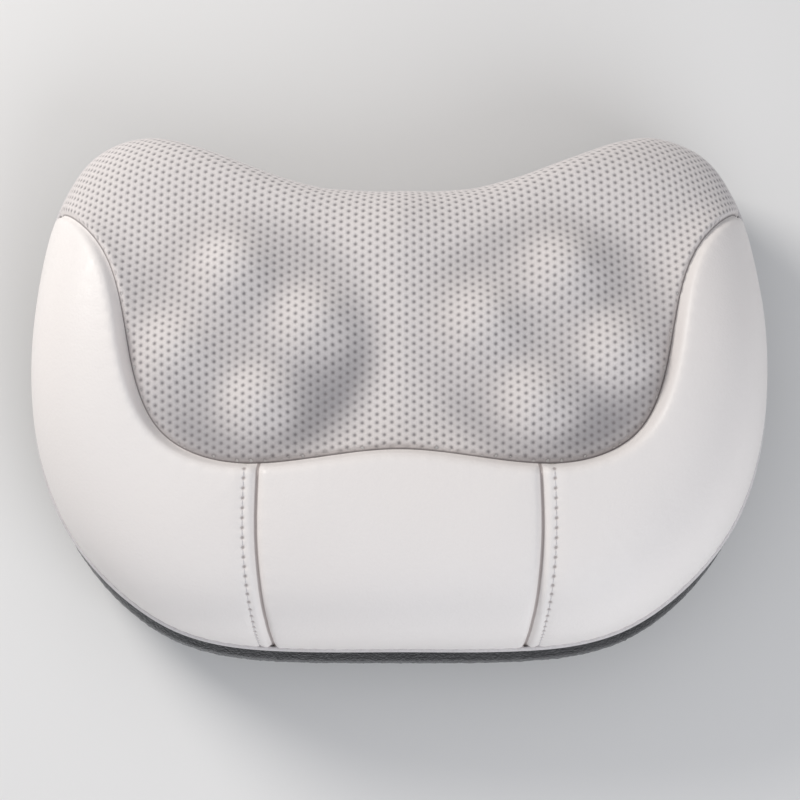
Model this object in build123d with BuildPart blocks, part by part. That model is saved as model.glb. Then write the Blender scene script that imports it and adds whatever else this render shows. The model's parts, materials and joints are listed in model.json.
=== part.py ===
from build123d import *

import os
from math import acos, atan2, cos, degrees, hypot, pi, radians, sin, sqrt, tan

# Shiatsu neck massager, millimetres. It lies on its flat back: X runs across its width, +Y towards the
# concave edge that takes the neck, and +Z out through the mesh front. The origin is in the middle of
# the back, on the surface that the cushion lies on.

os.makedirs("parts", exist_ok=True)

# ---- cushion ----
cushion_width = 350.0
half_outline = [  # the widest level, from the middle of the neck edge round to the middle of the chin edge
    (0, 96),
    (38, 98),
    (67, 107),
    (95, 118),
    (124, 124),
    (144, 117.5),
    (162, 94),
    (171, 60),
    (cushion_width / 2, 16),
    (167, -42),
    (129, -100),
    (107, -114.5),
    (57, -124.3),
    (0, -125),
]
crown_half_width = 100.0  # the ellipse that the front rises to
crown_half_height = 45.0
crown_y = 14.0
side_run = 80.0  # usual run from the edge to the crown
# Each row is a level of the cushion: how far it has moved from the edge towards the crown, as a share
# of that run, and its height.
cushion_profile = [
    (0.200, 0.0),
    (0.115, 2.5),
    (0.050, 8.0),
    (0.022, 17.0),
    (0.013, 30.0),
    (0.013, 46.0),
    (0.042, 66.0),
    (0.125, 84.0),
    (0.270, 97.0),
    (0.500, 106.0),
    (0.750, 110.5),
    (1.000, 112.5),
]
section_points = 28
skin = 2.0  # thickness of every cover panel
lining_top = 2.2  # depths below the outside of the cover
lining_bottom = 2.8
foam_depth = 3.5
piping_radius = 1.2
piping_z = 46.0
back_seam_z = 9.0
foam_split_z = 75.0

# Seam between the mesh and the leather, right half, from the middle outwards.
half_mesh_seam = [(0, -34), (57, -40), (83, -39), (109, -26), (122, 0), (128, 30), (138, 60), (161, 84)]
mesh_seam_end = (190, 104)
# Seam between the chin panel and the right side panel.
chin_seam = [(64, -20), (65, -42), (66, -75), (63.5, -103), (59, -140)]

# ---- drive ----
rotor_x = 70.0
drive_y = 18.0
spur_module = 1.5
pinion_teeth = 12
output_teeth = 48
wheel_module = 1.4
wheel_teeth = 28
worm_radius = 5.4  # pitch radius
tooth_height = 0.75  # above and below the pitch line, as a share of the module
root_clearance = 0.45
pressure_angle = radians(20)
flank_gap = 0.2  # taken off each flank, for backlash
centre_distance = spur_module * (pinion_teeth + output_teeth) / 2
compound_x = rotor_x - centre_distance
worm_turns = 6
worm_pitch = pi * wheel_module
shaft_z = 27.0  # height of the motor and worm axis
wheel_z = (22.0, 32.0)
output_z = (34.0, 43.0)
motor_radius = 18.0
motor_front_y = -14.0
motor_length = 52.0
motor_shaft_radius = 2.5

# ---- rotors ----
head_circle = 31.0
head_radius = 14.0
head_top_z = 108.5
arm_z = (67.0, 75.0)
rotor_turn = 12.0  # degrees that each cross of heads is turned at rest
rotor_shaft_radius = 4.0
heads_per_rotor = 4

# ---- housing ----
wall = 2.5
case_radius = 42.0
bay_width = 60.0
bay_length = 90.0
bay_y = -40.0
bay_corner = 8.0
floor_z = 5.6
joint_z = 46.0  # where the two housing halves meet
lid_z = 63.0
ears = [(70, 64.5), (116.5, 18), (70, -28.5), (34.5, -70)]
ear_radius = 6.0
plate_posts = [(22, 50), (12, -6)]
board_posts = [(23.5, -38), (23.5, -76)]
clamp_post = (23.4, -41)

# ---- control plate on the right side ----
plate_x = 174.9
plate_y = 16.0
plate_z = 28.0
plate_length = 40.0
plate_height = 22.0
plate_thickness = 2.0
plate_plane = Plane((plate_x, plate_y, plate_z), x_dir=(0, 1, 0), z_dir=(1, 0, 0))
sleeve_inset = 5.6  # how much smaller than the plate its sleeve is
sleeve_wall = 1.0
sleeve_depth = 14.0
button_offset = 8.5
button_radius = 6.3
jack_offset = -8.5

# ---- zip on the back ----
zip_y = -94.5
zip_half_length = 70.0
slot_half_width = 5.5
slider_park_x = -62.0


def both(points):
    """The points, and their mirror images in the plane X = 0."""
    return [(side * x, y) for x, y in points for side in (-1, 1)]


def write(part, name):
    """Label one finished piece and write its STEP file."""
    part.label = name
    export_step(part, f"parts/{name}.step")


# ---------------------------------------------------------------- the cushion's shape

left_outline = [(-x, y) for x, y in half_outline[-2:0:-1]]
with BuildLine() as edge_line:
    Spline(*half_outline, *left_outline, periodic=True)
edge_curve = edge_line.edges()[0]


def level_points(share, push=0.0):
    """Points round one level: the edge moved towards the crown by a share of the run, then by push."""
    points = []
    for i in range(section_points):
        edge = edge_curve @ (i / section_points)
        angle = atan2((edge.Y - crown_y) / crown_half_height, edge.X / crown_half_width)
        crown = Vector(crown_half_width * cos(angle), crown_y + crown_half_height * sin(angle))
        inward = crown - Vector(edge.X, edge.Y)
        point = edge + inward * share + inward.normalized() * push
        points.append((point.X, point.Y))
    return points


def cushion_levels(depth):
    """Rows of (share, push, height) for the cushion with its whole surface moved in by depth."""
    rows = [(cushion_profile[0][0], 0.0, cushion_profile[0][1] + depth)]
    for before, here, after in zip(cushion_profile, cushion_profile[1:], cushion_profile[2:]):
        run = (after[0] - before[0]) * side_run
        rise = after[1] - before[1]
        length = hypot(run, rise)
        rows.append((here[0], depth * rise / length, here[1] - depth * run / length))
    rows.append((cushion_profile[-1][0], 0.0, cushion_profile[-1][1] - depth))
    return rows


def cushion(depth, mode=Mode.ADD):
    """Loft the cushion's solid shape in the current part."""
    levels = []
    for share, push, height in cushion_levels(depth):
        with BuildSketch(Plane.XY.offset(height)) as level:
            with BuildLine():
                Spline(*level_points(share, push), periodic=True)
            make_face()
        levels.append(level.sketch)
    loft(levels, mode=mode)


with BuildPart() as skin_shape:
    cushion(0)
    cushion(skin, mode=Mode.SUBTRACT)

with BuildPart() as lining_shape:
    cushion(lining_top)
    cushion(lining_bottom, mode=Mode.SUBTRACT)

with BuildPart() as foam_shape:
    cushion(foam_depth)

# The plan of the mesh: everything on the neck side of its seam with the leather.
seam_points = [(-x, y) for x, y in reversed(half_mesh_seam[1:])] + half_mesh_seam
with BuildSketch() as mesh_plan:
    with BuildLine():
        seam_line = Spline(*seam_points)
        Polyline(
            seam_line @ 1,
            mesh_seam_end,
            (mesh_seam_end[0], 140),
            (-mesh_seam_end[0], 140),
            (-mesh_seam_end[0], mesh_seam_end[1]),
            seam_line @ 0,
        )
    make_face()

# The plan of the leather chin panel, between its two side seams.
with BuildSketch() as chin_plan:
    with BuildLine():
        right_seam = Spline(*chin_seam)
        left_seam = Spline(*[(-x, y) for x, y in chin_seam])
        Line(right_seam @ 0, left_seam @ 0)
        Line(right_seam @ 1, left_seam @ 1)
    make_face()

front_low = piping_z + piping_radius
front_high = 125.0


# ---------------------------------------------------------------- cover

with BuildPart() as mesh_panel:
    add(skin_shape.part)
    add(extrude(mesh_plan.sketch, amount=front_high, mode=Mode.PRIVATE), mode=Mode.INTERSECT)
    split(bisect_by=Plane.XY.offset(front_low), keep=Keep.TOP)
write(mesh_panel.part, "mesh_panel")

with BuildPart() as leather_panel_centre:
    add(skin_shape.part)
    add(extrude(chin_plan.sketch, amount=front_high, mode=Mode.PRIVATE), mode=Mode.INTERSECT)
    add(extrude(mesh_plan.sketch, amount=front_high, mode=Mode.PRIVATE), mode=Mode.SUBTRACT)
    split(bisect_by=Plane.XY.offset(front_low), keep=Keep.TOP)
write(leather_panel_centre.part, "leather_panel_centre")

for side, keep in (("left", Keep.BOTTOM), ("right", Keep.TOP)):
    with BuildPart() as leather_panel:
        add(skin_shape.part)
        add(extrude(mesh_plan.sketch, amount=front_high, mode=Mode.PRIVATE), mode=Mode.SUBTRACT)
        add(extrude(chin_plan.sketch, amount=front_high, mode=Mode.PRIVATE), mode=Mode.SUBTRACT)
        split(bisect_by=Plane.XY.offset(front_low), keep=Keep.TOP)
        split(bisect_by=Plane.YZ, keep=keep)
    write(leather_panel.part, f"leather_panel_{side}")

# Cord-filled piping in the seam between the front and the side band.
with BuildPart() as piping:
    with BuildLine() as piping_path:
        Spline(*[(x, y, piping_z) for x, y in level_points(0, piping_radius)], periodic=True)
    with BuildSketch(Plane(piping_path.line @ 0, z_dir=piping_path.line % 0)):
        Circle(piping_radius)
    sweep(path=piping_path.line)
write(piping.part, "piping")

with BuildPart() as control_plan:
    with BuildSketch(plate_plane.offset(-plate_x)):
        SlotOverall(plate_length - sleeve_inset, plate_height - sleeve_inset)
    extrude(amount=plate_x + 5)
    with BuildSketch(plate_plane.offset(-plate_thickness - 0.1)):
        SlotOverall(plate_length + 0.6, plate_height + 0.6)
    extrude(amount=5)

with BuildPart() as side_band:
    add(skin_shape.part)
    split(bisect_by=Plane.XY.offset(piping_z - piping_radius), keep=Keep.BOTTOM)
    split(bisect_by=Plane.XY.offset(back_seam_z), keep=Keep.TOP)
    add(control_plan.part, mode=Mode.SUBTRACT)
write(side_band.part, "side_band")

with BuildPart() as back_panel:
    add(skin_shape.part)
    split(bisect_by=Plane.XY.offset(back_seam_z), keep=Keep.BOTTOM)
    with BuildSketch(Plane.XY.offset(-1)):
        with Locations((0, zip_y)):
            SlotOverall(2 * zip_half_length, 2 * slot_half_width)
    extrude(amount=skin + 2, mode=Mode.SUBTRACT)
write(back_panel.part, "back_panel")

# Thin stretch lining under the mesh, over the massage heads.
with BuildPart() as lining_cloth:
    add(lining_shape.part)
    add(extrude(mesh_plan.sketch, amount=front_high, mode=Mode.PRIVATE), mode=Mode.INTERSECT)
    split(bisect_by=Plane.XY.offset(front_low + 2), keep=Keep.TOP)
write(lining_cloth.part, "lining_cloth")

# ---------------------------------------------------------------- zip on the back

zip_plane = Plane((0, zip_y, 0))
tape_gap = 0.7  # from the middle of the zip to each tape
tape_z = (5.0, 5.6)
flange_width = 9.0
coil_half_width = 2.6
coil_z = (3.2, 5.0)
slider_length = 9.0
slider_half_width = 3.6
slider_z = (1.9, 2.9)
slider_inner_z = (5.9, 6.7)
slider_clearance = 0.3
pull_pin_z = 1.3
pull_pin_radius = 0.45
pull_length = 20.0
ear_inner = 1.8  # half the gap between the slider's ears, and half the width across them
ear_outer = 2.7

# Each tape turns out to the back panel, so that the zip lies in a shallow pocket of its own depth.
with BuildPart() as zip_tapes:
    with BuildSketch(zip_plane * Plane.YZ.offset(-zip_half_length)):
        for side in (-1, 1):
            with BuildLine():
                Polyline(
                    (side * tape_gap, tape_z[0]),
                    (side * tape_gap, tape_z[1]),
                    (side * (slot_half_width + 0.6), tape_z[1]),
                    (side * (slot_half_width + 0.6), skin + 0.6),
                    (side * flange_width, skin + 0.6),
                    (side * flange_width, skin),
                    (side * slot_half_width, skin),
                    (side * slot_half_width, tape_z[0]),
                    close=True,
                )
            make_face()
    extrude(amount=2 * zip_half_length)
write(zip_tapes.part, "zip_tapes")

with BuildPart() as zip_coil:
    with BuildSketch(zip_plane * Plane.YZ.offset(-zip_half_length)):
        for side in (-1, 1):
            with Locations((side * (tape_gap + coil_half_width) / 2, sum(coil_z) / 2)):
                Rectangle(coil_half_width - tape_gap, coil_z[1] - coil_z[0])
    extrude(amount=2 * zip_half_length)
write(zip_coil.part, "zip_coil")

park = Plane((slider_park_x, zip_y, 0))
with BuildPart() as zip_slider:
    with BuildSketch(park.offset(slider_z[0])):
        RectangleRounded(slider_length, 2 * slider_half_width, 1.6)
    extrude(amount=slider_z[1] - slider_z[0])
    with BuildSketch(park.offset(slider_inner_z[0])):
        RectangleRounded(slider_length, 2 * slider_half_width - 1, 1.4)
    extrude(amount=slider_inner_z[1] - slider_inner_z[0])
    with BuildSketch(park.offset(slider_z[1])):
        with Locations((0, slider_half_width - 0.35), (0, 0.35 - slider_half_width)):
            Rectangle(slider_length - 2, 0.7)
    extrude(amount=tape_z[0] - slider_clearance - slider_z[1])
    with BuildSketch(park.offset(slider_z[1])):
        with Locations((slider_length / 2 - 2, 0)):
            Rectangle(2, 0.8)
    extrude(amount=slider_inner_z[0] - slider_z[1])
    # two ears that hold the pull's pin
    with BuildSketch(park * Plane.XZ.offset(-ear_outer)):
        with Locations((0, 1.15)):
            Rectangle(2.4, 1.5)
        with Locations((0, pull_pin_z)):
            Circle(pull_pin_radius + 0.1, mode=Mode.SUBTRACT)
    extrude(amount=2 * ear_outer)
    with BuildSketch(park.offset(0.4)):
        Rectangle(2.4, 2 * ear_inner)
    extrude(amount=slider_z[0] - 0.4, mode=Mode.SUBTRACT)
write(zip_slider.part, "zip_slider")

# The pull turns on its own pin, in the slider's ears, and lies flat in the pocket.
with BuildPart() as zip_pull:
    with BuildSketch(park.offset(pull_pin_z - 0.4)):
        with Locations((1.2, 0)):
            Rectangle(2.4, 2 * ear_inner - 0.4)
        with Locations((1.8 + pull_length / 2, 0)):
            RectangleRounded(pull_length, 6.4, 1.5)
        with Locations((pull_length - 3, 0)):
            Circle(1.6, mode=Mode.SUBTRACT)
    extrude(amount=0.8)
    with BuildSketch(park * Plane.XZ.offset(-ear_outer)):
        with Locations((0, pull_pin_z)):
            Circle(pull_pin_radius)
    extrude(amount=2 * ear_outer)
write(zip_pull.part, "zip_pull")


# ---------------------------------------------------------------- housing


def case_sketch(height, grow=0.0):
    """Plan of the housing: a slot round both gear trains, with a bay for the motor and the board."""
    with BuildSketch(Plane.XY.offset(height)) as plan:
        with Locations((0, drive_y)):
            SlotCenterToCenter(2 * rotor_x, 2 * (case_radius + grow))
        with Locations((0, bay_y)):
            RectangleRounded(bay_width + 2 * grow, bay_length + 2 * grow, bay_corner + grow)
    return plan.sketch


def ear_plan(height, radius=ear_radius):
    """Plan of the ears round the housing, where its screws go."""
    with BuildSketch(Plane.XY.offset(height)) as plan:
        with Locations(*both(ears)):
            Circle(radius)
    return plan.sketch


def post(points, low, high, radius):
    """Round posts between two heights, added to the current part."""
    with BuildSketch(Plane.XY.offset(low)) as plan:
        with Locations(*points):
            Circle(radius)
    extrude(plan.sketch, amount=high - low)


def drill(points, low, high, radius):
    """Round holes between two heights, cut from the current part."""
    with BuildSketch(Plane.XY.offset(low)) as plan:
        with Locations(*points):
            Circle(radius)
    extrude(plan.sketch, amount=high - low, mode=Mode.SUBTRACT)


rotor_points = [(-rotor_x, drive_y), (rotor_x, drive_y)]
compound_points = [(-compound_x, drive_y), (compound_x, drive_y)]
ear_z = (38.0, 52.0)
post_radius = 4.5
screw_radius = 1.5
screw_head_radius = 2.9
boss_radius = 10.0
rotor_boss_z = 20.0
bush_radius = 6.0
axle_radius = 3.0
axle_boss_radius = 6.0
axle_boss_z = 19.0
gear_plate_z = (46.2, 49.2)
lid_under = lid_z - wall
bearing_y = (33.0, 39.0)
bearing_half_width = 7.0
worm_bush_radius = 4.0
cable_radius = 1.6
cable_entry = (111.0, 8.0, 15.5)

with BuildPart() as rear_housing:
    extrude(case_sketch(floor_z), amount=joint_z - floor_z)
    extrude(ear_plan(ear_z[0]), amount=joint_z - ear_z[0])
    extrude(case_sketch(floor_z + wall, -wall), amount=joint_z, mode=Mode.SUBTRACT)
    post(rotor_points, floor_z, rotor_boss_z, boss_radius)
    post(compound_points, floor_z, axle_boss_z, axle_boss_radius)
    post(both(plate_posts), floor_z, gear_plate_z[0], post_radius)
    with BuildSketch(Plane.XY.offset(floor_z)):
        with Locations((0, sum(bearing_y) / 2)):
            Rectangle(2 * bearing_half_width, bearing_y[1] - bearing_y[0])
        # two ribs that cradle the motor
        with Locations(*both([(12, -24)]), *both([(12, -58)])):
            Rectangle(8, 3)
    extrude(amount=shaft_z + worm_bush_radius + 3 - floor_z)
    with BuildSketch(Plane.XZ.offset(-50)):
        with Locations((0, shaft_z)):
            Circle(worm_bush_radius)
    extrude(amount=30, mode=Mode.SUBTRACT)
    with BuildSketch(Plane.XZ.offset(10)):
        with Locations((0, shaft_z)):
            Circle(motor_radius + 0.4)
    extrude(amount=62, mode=Mode.SUBTRACT)
    post(both([clamp_post]), floor_z, shaft_z - 2, 3.2)
    drill(both([clamp_post]), shaft_z - 12, shaft_z - 2, 1.2)
    drill(rotor_points, floor_z + 3, rotor_boss_z, bush_radius)
    drill(compound_points, floor_z + 3, axle_boss_z, axle_radius)
    drill(both(plate_posts), gear_plate_z[0] - 10, gear_plate_z[0], screw_radius)
    drill(both(ears), ear_z[0], joint_z, screw_radius)
    with BuildSketch(Plane(cable_entry, z_dir=(1, 0, 0))):
        Circle(cable_radius + 2)
    extrude(amount=6, both=True, mode=Mode.SUBTRACT)
write(rear_housing.part, "rear_housing")

with BuildPart() as front_housing:
    extrude(case_sketch(joint_z), amount=lid_z - joint_z)
    extrude(ear_plan(joint_z), amount=ear_z[1] - joint_z)
    extrude(case_sketch(joint_z, -wall), amount=lid_under - joint_z, mode=Mode.SUBTRACT)
    post(rotor_points, 52.0, lid_z, boss_radius)
    post(both(board_posts), 52.0, lid_under, 3.0)
    drill(rotor_points, 52.0, lid_z, bush_radius)
    drill(both(board_posts), 52.0, lid_under - 1, 1.2)
    drill(both(ears), joint_z, ear_z[1] - 1, screw_radius)
    fillet(front_housing.faces().sort_by(Axis.Z)[-1].outer_wire().edges(), 1.2)
write(front_housing.part, "front_housing")

# A plate that holds the far ends of the idler axles.
with BuildPart() as gear_plate:
    with BuildSketch(Plane.XY.offset(gear_plate_z[0])):
        with Locations((0, drive_y)):
            SlotCenterToCenter(2 * rotor_x, 2 * (case_radius - wall - 0.5))
        with Locations(*rotor_points):
            Circle(boss_radius + 1, mode=Mode.SUBTRACT)
        with Locations(*compound_points):
            Circle(axle_radius, mode=Mode.SUBTRACT)
        with Locations(*both(plate_posts)):
            Circle(screw_radius + 0.2, mode=Mode.SUBTRACT)
    extrude(amount=gear_plate_z[1] - gear_plate_z[0])
write(gear_plate.part, "gear_plate")


def pan_screws(points, low, high, head_low, radius=screw_radius, head_radius=screw_head_radius):
    """Pan-head screws, added to the current part, with their heads at the low end or on top."""
    post(points, low, high, radius)
    if head_low:
        post(points, low - 2, low, head_radius)
        drill(points, low - 2, low - 1, 1.0)
    else:
        post(points, high, high + 2, head_radius)
        drill(points, high + 1, high + 2, 1.0)


with BuildPart() as housing_screws:
    pan_screws(both(ears), ear_z[0], ear_z[1] - 2, True)
    pan_screws(both(plate_posts), gear_plate_z[0] - 9, gear_plate_z[1], False)
write(housing_screws.part, "housing_screws")

with BuildPart() as back_pad:
    extrude(case_sketch(skin + 0.3, -0.5), amount=floor_z - skin - 0.6)
write(back_pad.part, "back_pad")

# ---------------------------------------------------------------- motor and worm

shaft_plane = Plane((0, 0, shaft_z), x_dir=(1, 0, 0), z_dir=(0, 1, 0))
motor_back_y = motor_front_y - motor_length
cap_length = 6.0

with BuildPart() as motor_can:
    with BuildSketch(shaft_plane.offset(motor_back_y)):
        Circle(motor_radius)
    extrude(amount=motor_length)
    fillet(motor_can.faces().sort_by(Axis.Y)[-1].edges(), 1.5)
    with BuildSketch(shaft_plane.offset(motor_front_y)):
        Circle(6)
    extrude(amount=3)
    with BuildSketch(shaft_plane.offset(motor_back_y)):
        Circle(motor_shaft_radius + 0.25)
    extrude(amount=motor_length + 3, mode=Mode.SUBTRACT)
    with BuildSketch(shaft_plane.offset(motor_front_y - 0.5)):
        with PolarLocations(13, 6):
            Circle(1.6)
    extrude(amount=1, mode=Mode.SUBTRACT)
write(motor_can.part, "motor_can")

with BuildPart() as motor_end_cap:
    with BuildSketch(shaft_plane.offset(motor_back_y - cap_length)):
        Circle(motor_radius - 1)
        with Locations((8, 0), (-8, 0)):
            Circle(0.8, mode=Mode.SUBTRACT)
    extrude(amount=cap_length)
    chamfer(motor_end_cap.faces().sort_by(Axis.Y)[0].outer_wire().edges(), 1.2)
    with BuildSketch(shaft_plane.offset(motor_back_y - cap_length + 2)):
        Circle(motor_shaft_radius + 0.25)
    extrude(amount=cap_length, mode=Mode.SUBTRACT)
write(motor_end_cap.part, "motor_end_cap")

clamp_y = clamp_post[1]
clamp_width = 12.0
clamp_gap = 1.5  # rubber between the clamp and the motor
with BuildPart() as motor_pad:
    with BuildSketch(shaft_plane.offset(clamp_y - clamp_width / 2)):
        Circle(motor_radius + clamp_gap)
        Circle(motor_radius, mode=Mode.SUBTRACT)
        # open underneath, where the motor sits in its cradle
        with Locations((0, motor_radius)):
            Rectangle(4 * motor_radius, motor_radius + 3, mode=Mode.SUBTRACT)
    extrude(amount=clamp_width)
write(motor_pad.part, "motor_pad")

with BuildPart() as motor_clamp:
    with BuildSketch(shaft_plane.offset(clamp_y - clamp_width / 2)):
        Circle(motor_radius + clamp_gap + 1.5)
        with Locations((0, 0.5)):
            Rectangle(2 * (clamp_post[0] + 3), 3)
        Circle(motor_radius + clamp_gap, mode=Mode.SUBTRACT)
        with Locations((0, motor_radius + 2)):
            Rectangle(4 * motor_radius, 2 * motor_radius, mode=Mode.SUBTRACT)
    extrude(amount=clamp_width)
    with BuildSketch(Plane.XY.offset(shaft_z - 5)):
        with Locations(*both([clamp_post])):
            Circle(1.4)
    extrude(amount=10, mode=Mode.SUBTRACT)
write(motor_clamp.part, "motor_clamp")

with BuildPart() as motor_shaft:
    with BuildSketch(shaft_plane.offset(motor_back_y - cap_length + 2.5)):
        Circle(motor_shaft_radius)
    extrude(amount=bearing_y[1] + 1.5 - motor_back_y + cap_length - 2.5)
    chamfer(motor_shaft.edges().filter_by(GeomType.CIRCLE), 0.4)
write(motor_shaft.part, "motor_shaft")

addendum = tooth_height * wheel_module
worm_root = worm_radius - addendum - root_clearance
worm_tip = worm_radius + addendum
worm_start_y = drive_y - worm_turns * worm_pitch / 2


def thread_half(radius):
    """Half the worm thread's thickness along the shaft, at a radius."""
    return worm_pitch / 4 - flank_gap - (radius - worm_radius) * tan(pressure_angle)


with BuildPart() as worm:
    with BuildSketch(shaft_plane.offset(worm_start_y - 1.8)):
        Circle(worm_root)
    extrude(amount=worm_turns * worm_pitch + 3.6)
    thread = Helix(worm_pitch, worm_turns * worm_pitch, worm_radius, mode=Mode.PRIVATE)
    thread_path = shaft_plane.offset(worm_start_y) * thread
    with BuildSketch(Plane(thread_path @ 0, x_dir=(1, 0, 0), z_dir=thread_path % 0)):
        low = worm_root - 0.25
        with BuildLine():
            Polyline(
                (low - worm_radius, -thread_half(low)),
                (worm_tip - worm_radius, -thread_half(worm_tip)),
                (worm_tip - worm_radius, thread_half(worm_tip)),
                (low - worm_radius, thread_half(low)),
                close=True,
            )
        make_face()
    sweep(path=thread_path, is_frenet=True)
    with BuildSketch(shaft_plane.offset(worm_start_y - 3)):
        Circle(motor_shaft_radius)
    extrude(amount=worm_turns * worm_pitch + 6, mode=Mode.SUBTRACT)
write(worm.part, "worm")

# ---------------------------------------------------------------- gears


def gear_sketch(height, teeth, module, turn, root_gap=root_clearance):
    """Plan of an involute gear, with a tooth in the direction turn, in degrees."""
    pitch_radius = teeth * module / 2
    base_radius = pitch_radius * cos(pressure_angle)
    root = pitch_radius - tooth_height * module - root_gap
    tip = pitch_radius + tooth_height * module
    at_pitch = pi / (2 * teeth) - flank_gap / pitch_radius + tan(pressure_angle) - pressure_angle
    flank = []
    for step in range(4):
        radius = max(root, base_radius) + (tip - max(root, base_radius)) * step / 3
        angle = at_pitch - sqrt((radius / base_radius) ** 2 - 1) + acos(min(1, base_radius / radius))
        flank.append((radius * cos(angle), radius * sin(angle)))
    foot = atan2(flank[0][1], flank[0][0])
    inner = ((root - 0.4) * cos(foot), (root - 0.4) * sin(foot))
    with BuildSketch(mode=Mode.PRIVATE) as tooth:
        with BuildLine():
            Spline(*flank)
            Spline(*[(x, -y) for x, y in flank])
            Line(flank[-1], (flank[-1][0], -flank[-1][1]))
            Polyline(flank[0], inner, (inner[0], -inner[1]), (flank[0][0], -flank[0][1]))
        make_face()
    with BuildSketch(Plane.XY.offset(height)) as plan:
        Circle(root)
        with PolarLocations(0, teeth, start_angle=turn):
            add(tooth.sketch)
    return plan.sketch


# A point on the worm wheel's edge follows the worm's thread, which leans by its pitch over one turn.
wheel_radius = wheel_module * wheel_teeth / 2
wheel_lean = degrees(worm_pitch / (2 * pi * worm_radius) / wheel_radius)  # degrees per mm of height
hub_radius = 7.0
hub_z = (20.0, 45.6)
axle_play = 0.08

for side, name in ((-1, "left"), (1, "right")):
    centre = Location((side * compound_x, drive_y))
    wheel_turn = 0 if side < 0 else 180 + 180 / wheel_teeth
    with BuildPart() as compound_gear:
        wheel_levels = []
        for height in (wheel_z[0], shaft_z, wheel_z[1]):
            turn = wheel_turn + (height - shaft_z) * wheel_lean
            wheel_levels.append(centre * gear_sketch(height, wheel_teeth, wheel_module, turn))
        loft(wheel_levels[:2], ruled=True)
        loft(wheel_levels[1:], ruled=True)
        extrude(centre * gear_sketch(wheel_z[1], pinion_teeth, spur_module, 0), amount=hub_z[1] - wheel_z[1])
        post([centre.position], hub_z[0], wheel_z[1] + 0.8, hub_radius)
        drill([centre.position], hub_z[0], hub_z[1], axle_radius + axle_play)
        with BuildSketch(centre * Plane.XY.offset(wheel_z[1] - 2.5)):
            with PolarLocations(12.2, 6):
                Circle(3)
        extrude(amount=5, mode=Mode.SUBTRACT)
    write(compound_gear.part, f"compound_gear_{name}")

with BuildPart() as gear_axles:
    post(compound_points, floor_z + 3, gear_plate_z[1], axle_radius)
    chamfer(gear_axles.edges().filter_by(GeomType.CIRCLE).group_by(Axis.Z)[-1], 0.5)
write(gear_axles.part, "gear_axles")

output_hub_z = (21.6, 48.0)
output_hub_radius = 9.0
for side, name in ((-1, "left"), (1, "right")):
    centre = Location((side * rotor_x, drive_y))
    gear_turn = 180 / output_teeth
    with BuildPart() as output_gear:
        extrude(
            centre * gear_sketch(output_z[0], output_teeth, spur_module, gear_turn),
            amount=output_z[1] - output_z[0],
        )
        with BuildSketch(centre * Plane.XY.offset(output_z[0] + 3)):
            Circle(31)
            Circle(output_hub_radius + 2, mode=Mode.SUBTRACT)
            with PolarLocations(20, 6):
                Rectangle(24, 3, mode=Mode.SUBTRACT)
        extrude(amount=10, mode=Mode.SUBTRACT)
        post([centre.position], output_hub_z[0], output_hub_z[1], output_hub_radius)
        drill([centre.position], output_hub_z[0], output_hub_z[1], rotor_shaft_radius)
    write(output_gear.part, f"output_gear_{name}")

# ---------------------------------------------------------------- rotor shafts, arms and heads

shaft_low = floor_z + 3.3
shaft_high = 80.0
nut_z = (75.4, 79.0)
bush_play = 0.08
bush_flange_radius = 8.5

with BuildPart() as bushes:
    post(rotor_points, floor_z + 3, rotor_boss_z, bush_radius)
    post(rotor_points, rotor_boss_z, rotor_boss_z + 1, bush_flange_radius)
    post(rotor_points, 52.0, lid_z, bush_radius)
    post(rotor_points, lid_z, lid_z + 1, bush_flange_radius)
    drill(rotor_points, floor_z, 90, rotor_shaft_radius + bush_play)
    with BuildSketch(shaft_plane.offset(bearing_y[0])):
        Circle(worm_bush_radius)
        Circle(motor_shaft_radius + bush_play, mode=Mode.SUBTRACT)
    extrude(amount=bearing_y[1] - bearing_y[0])
write(bushes.part, "bushes")

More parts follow.
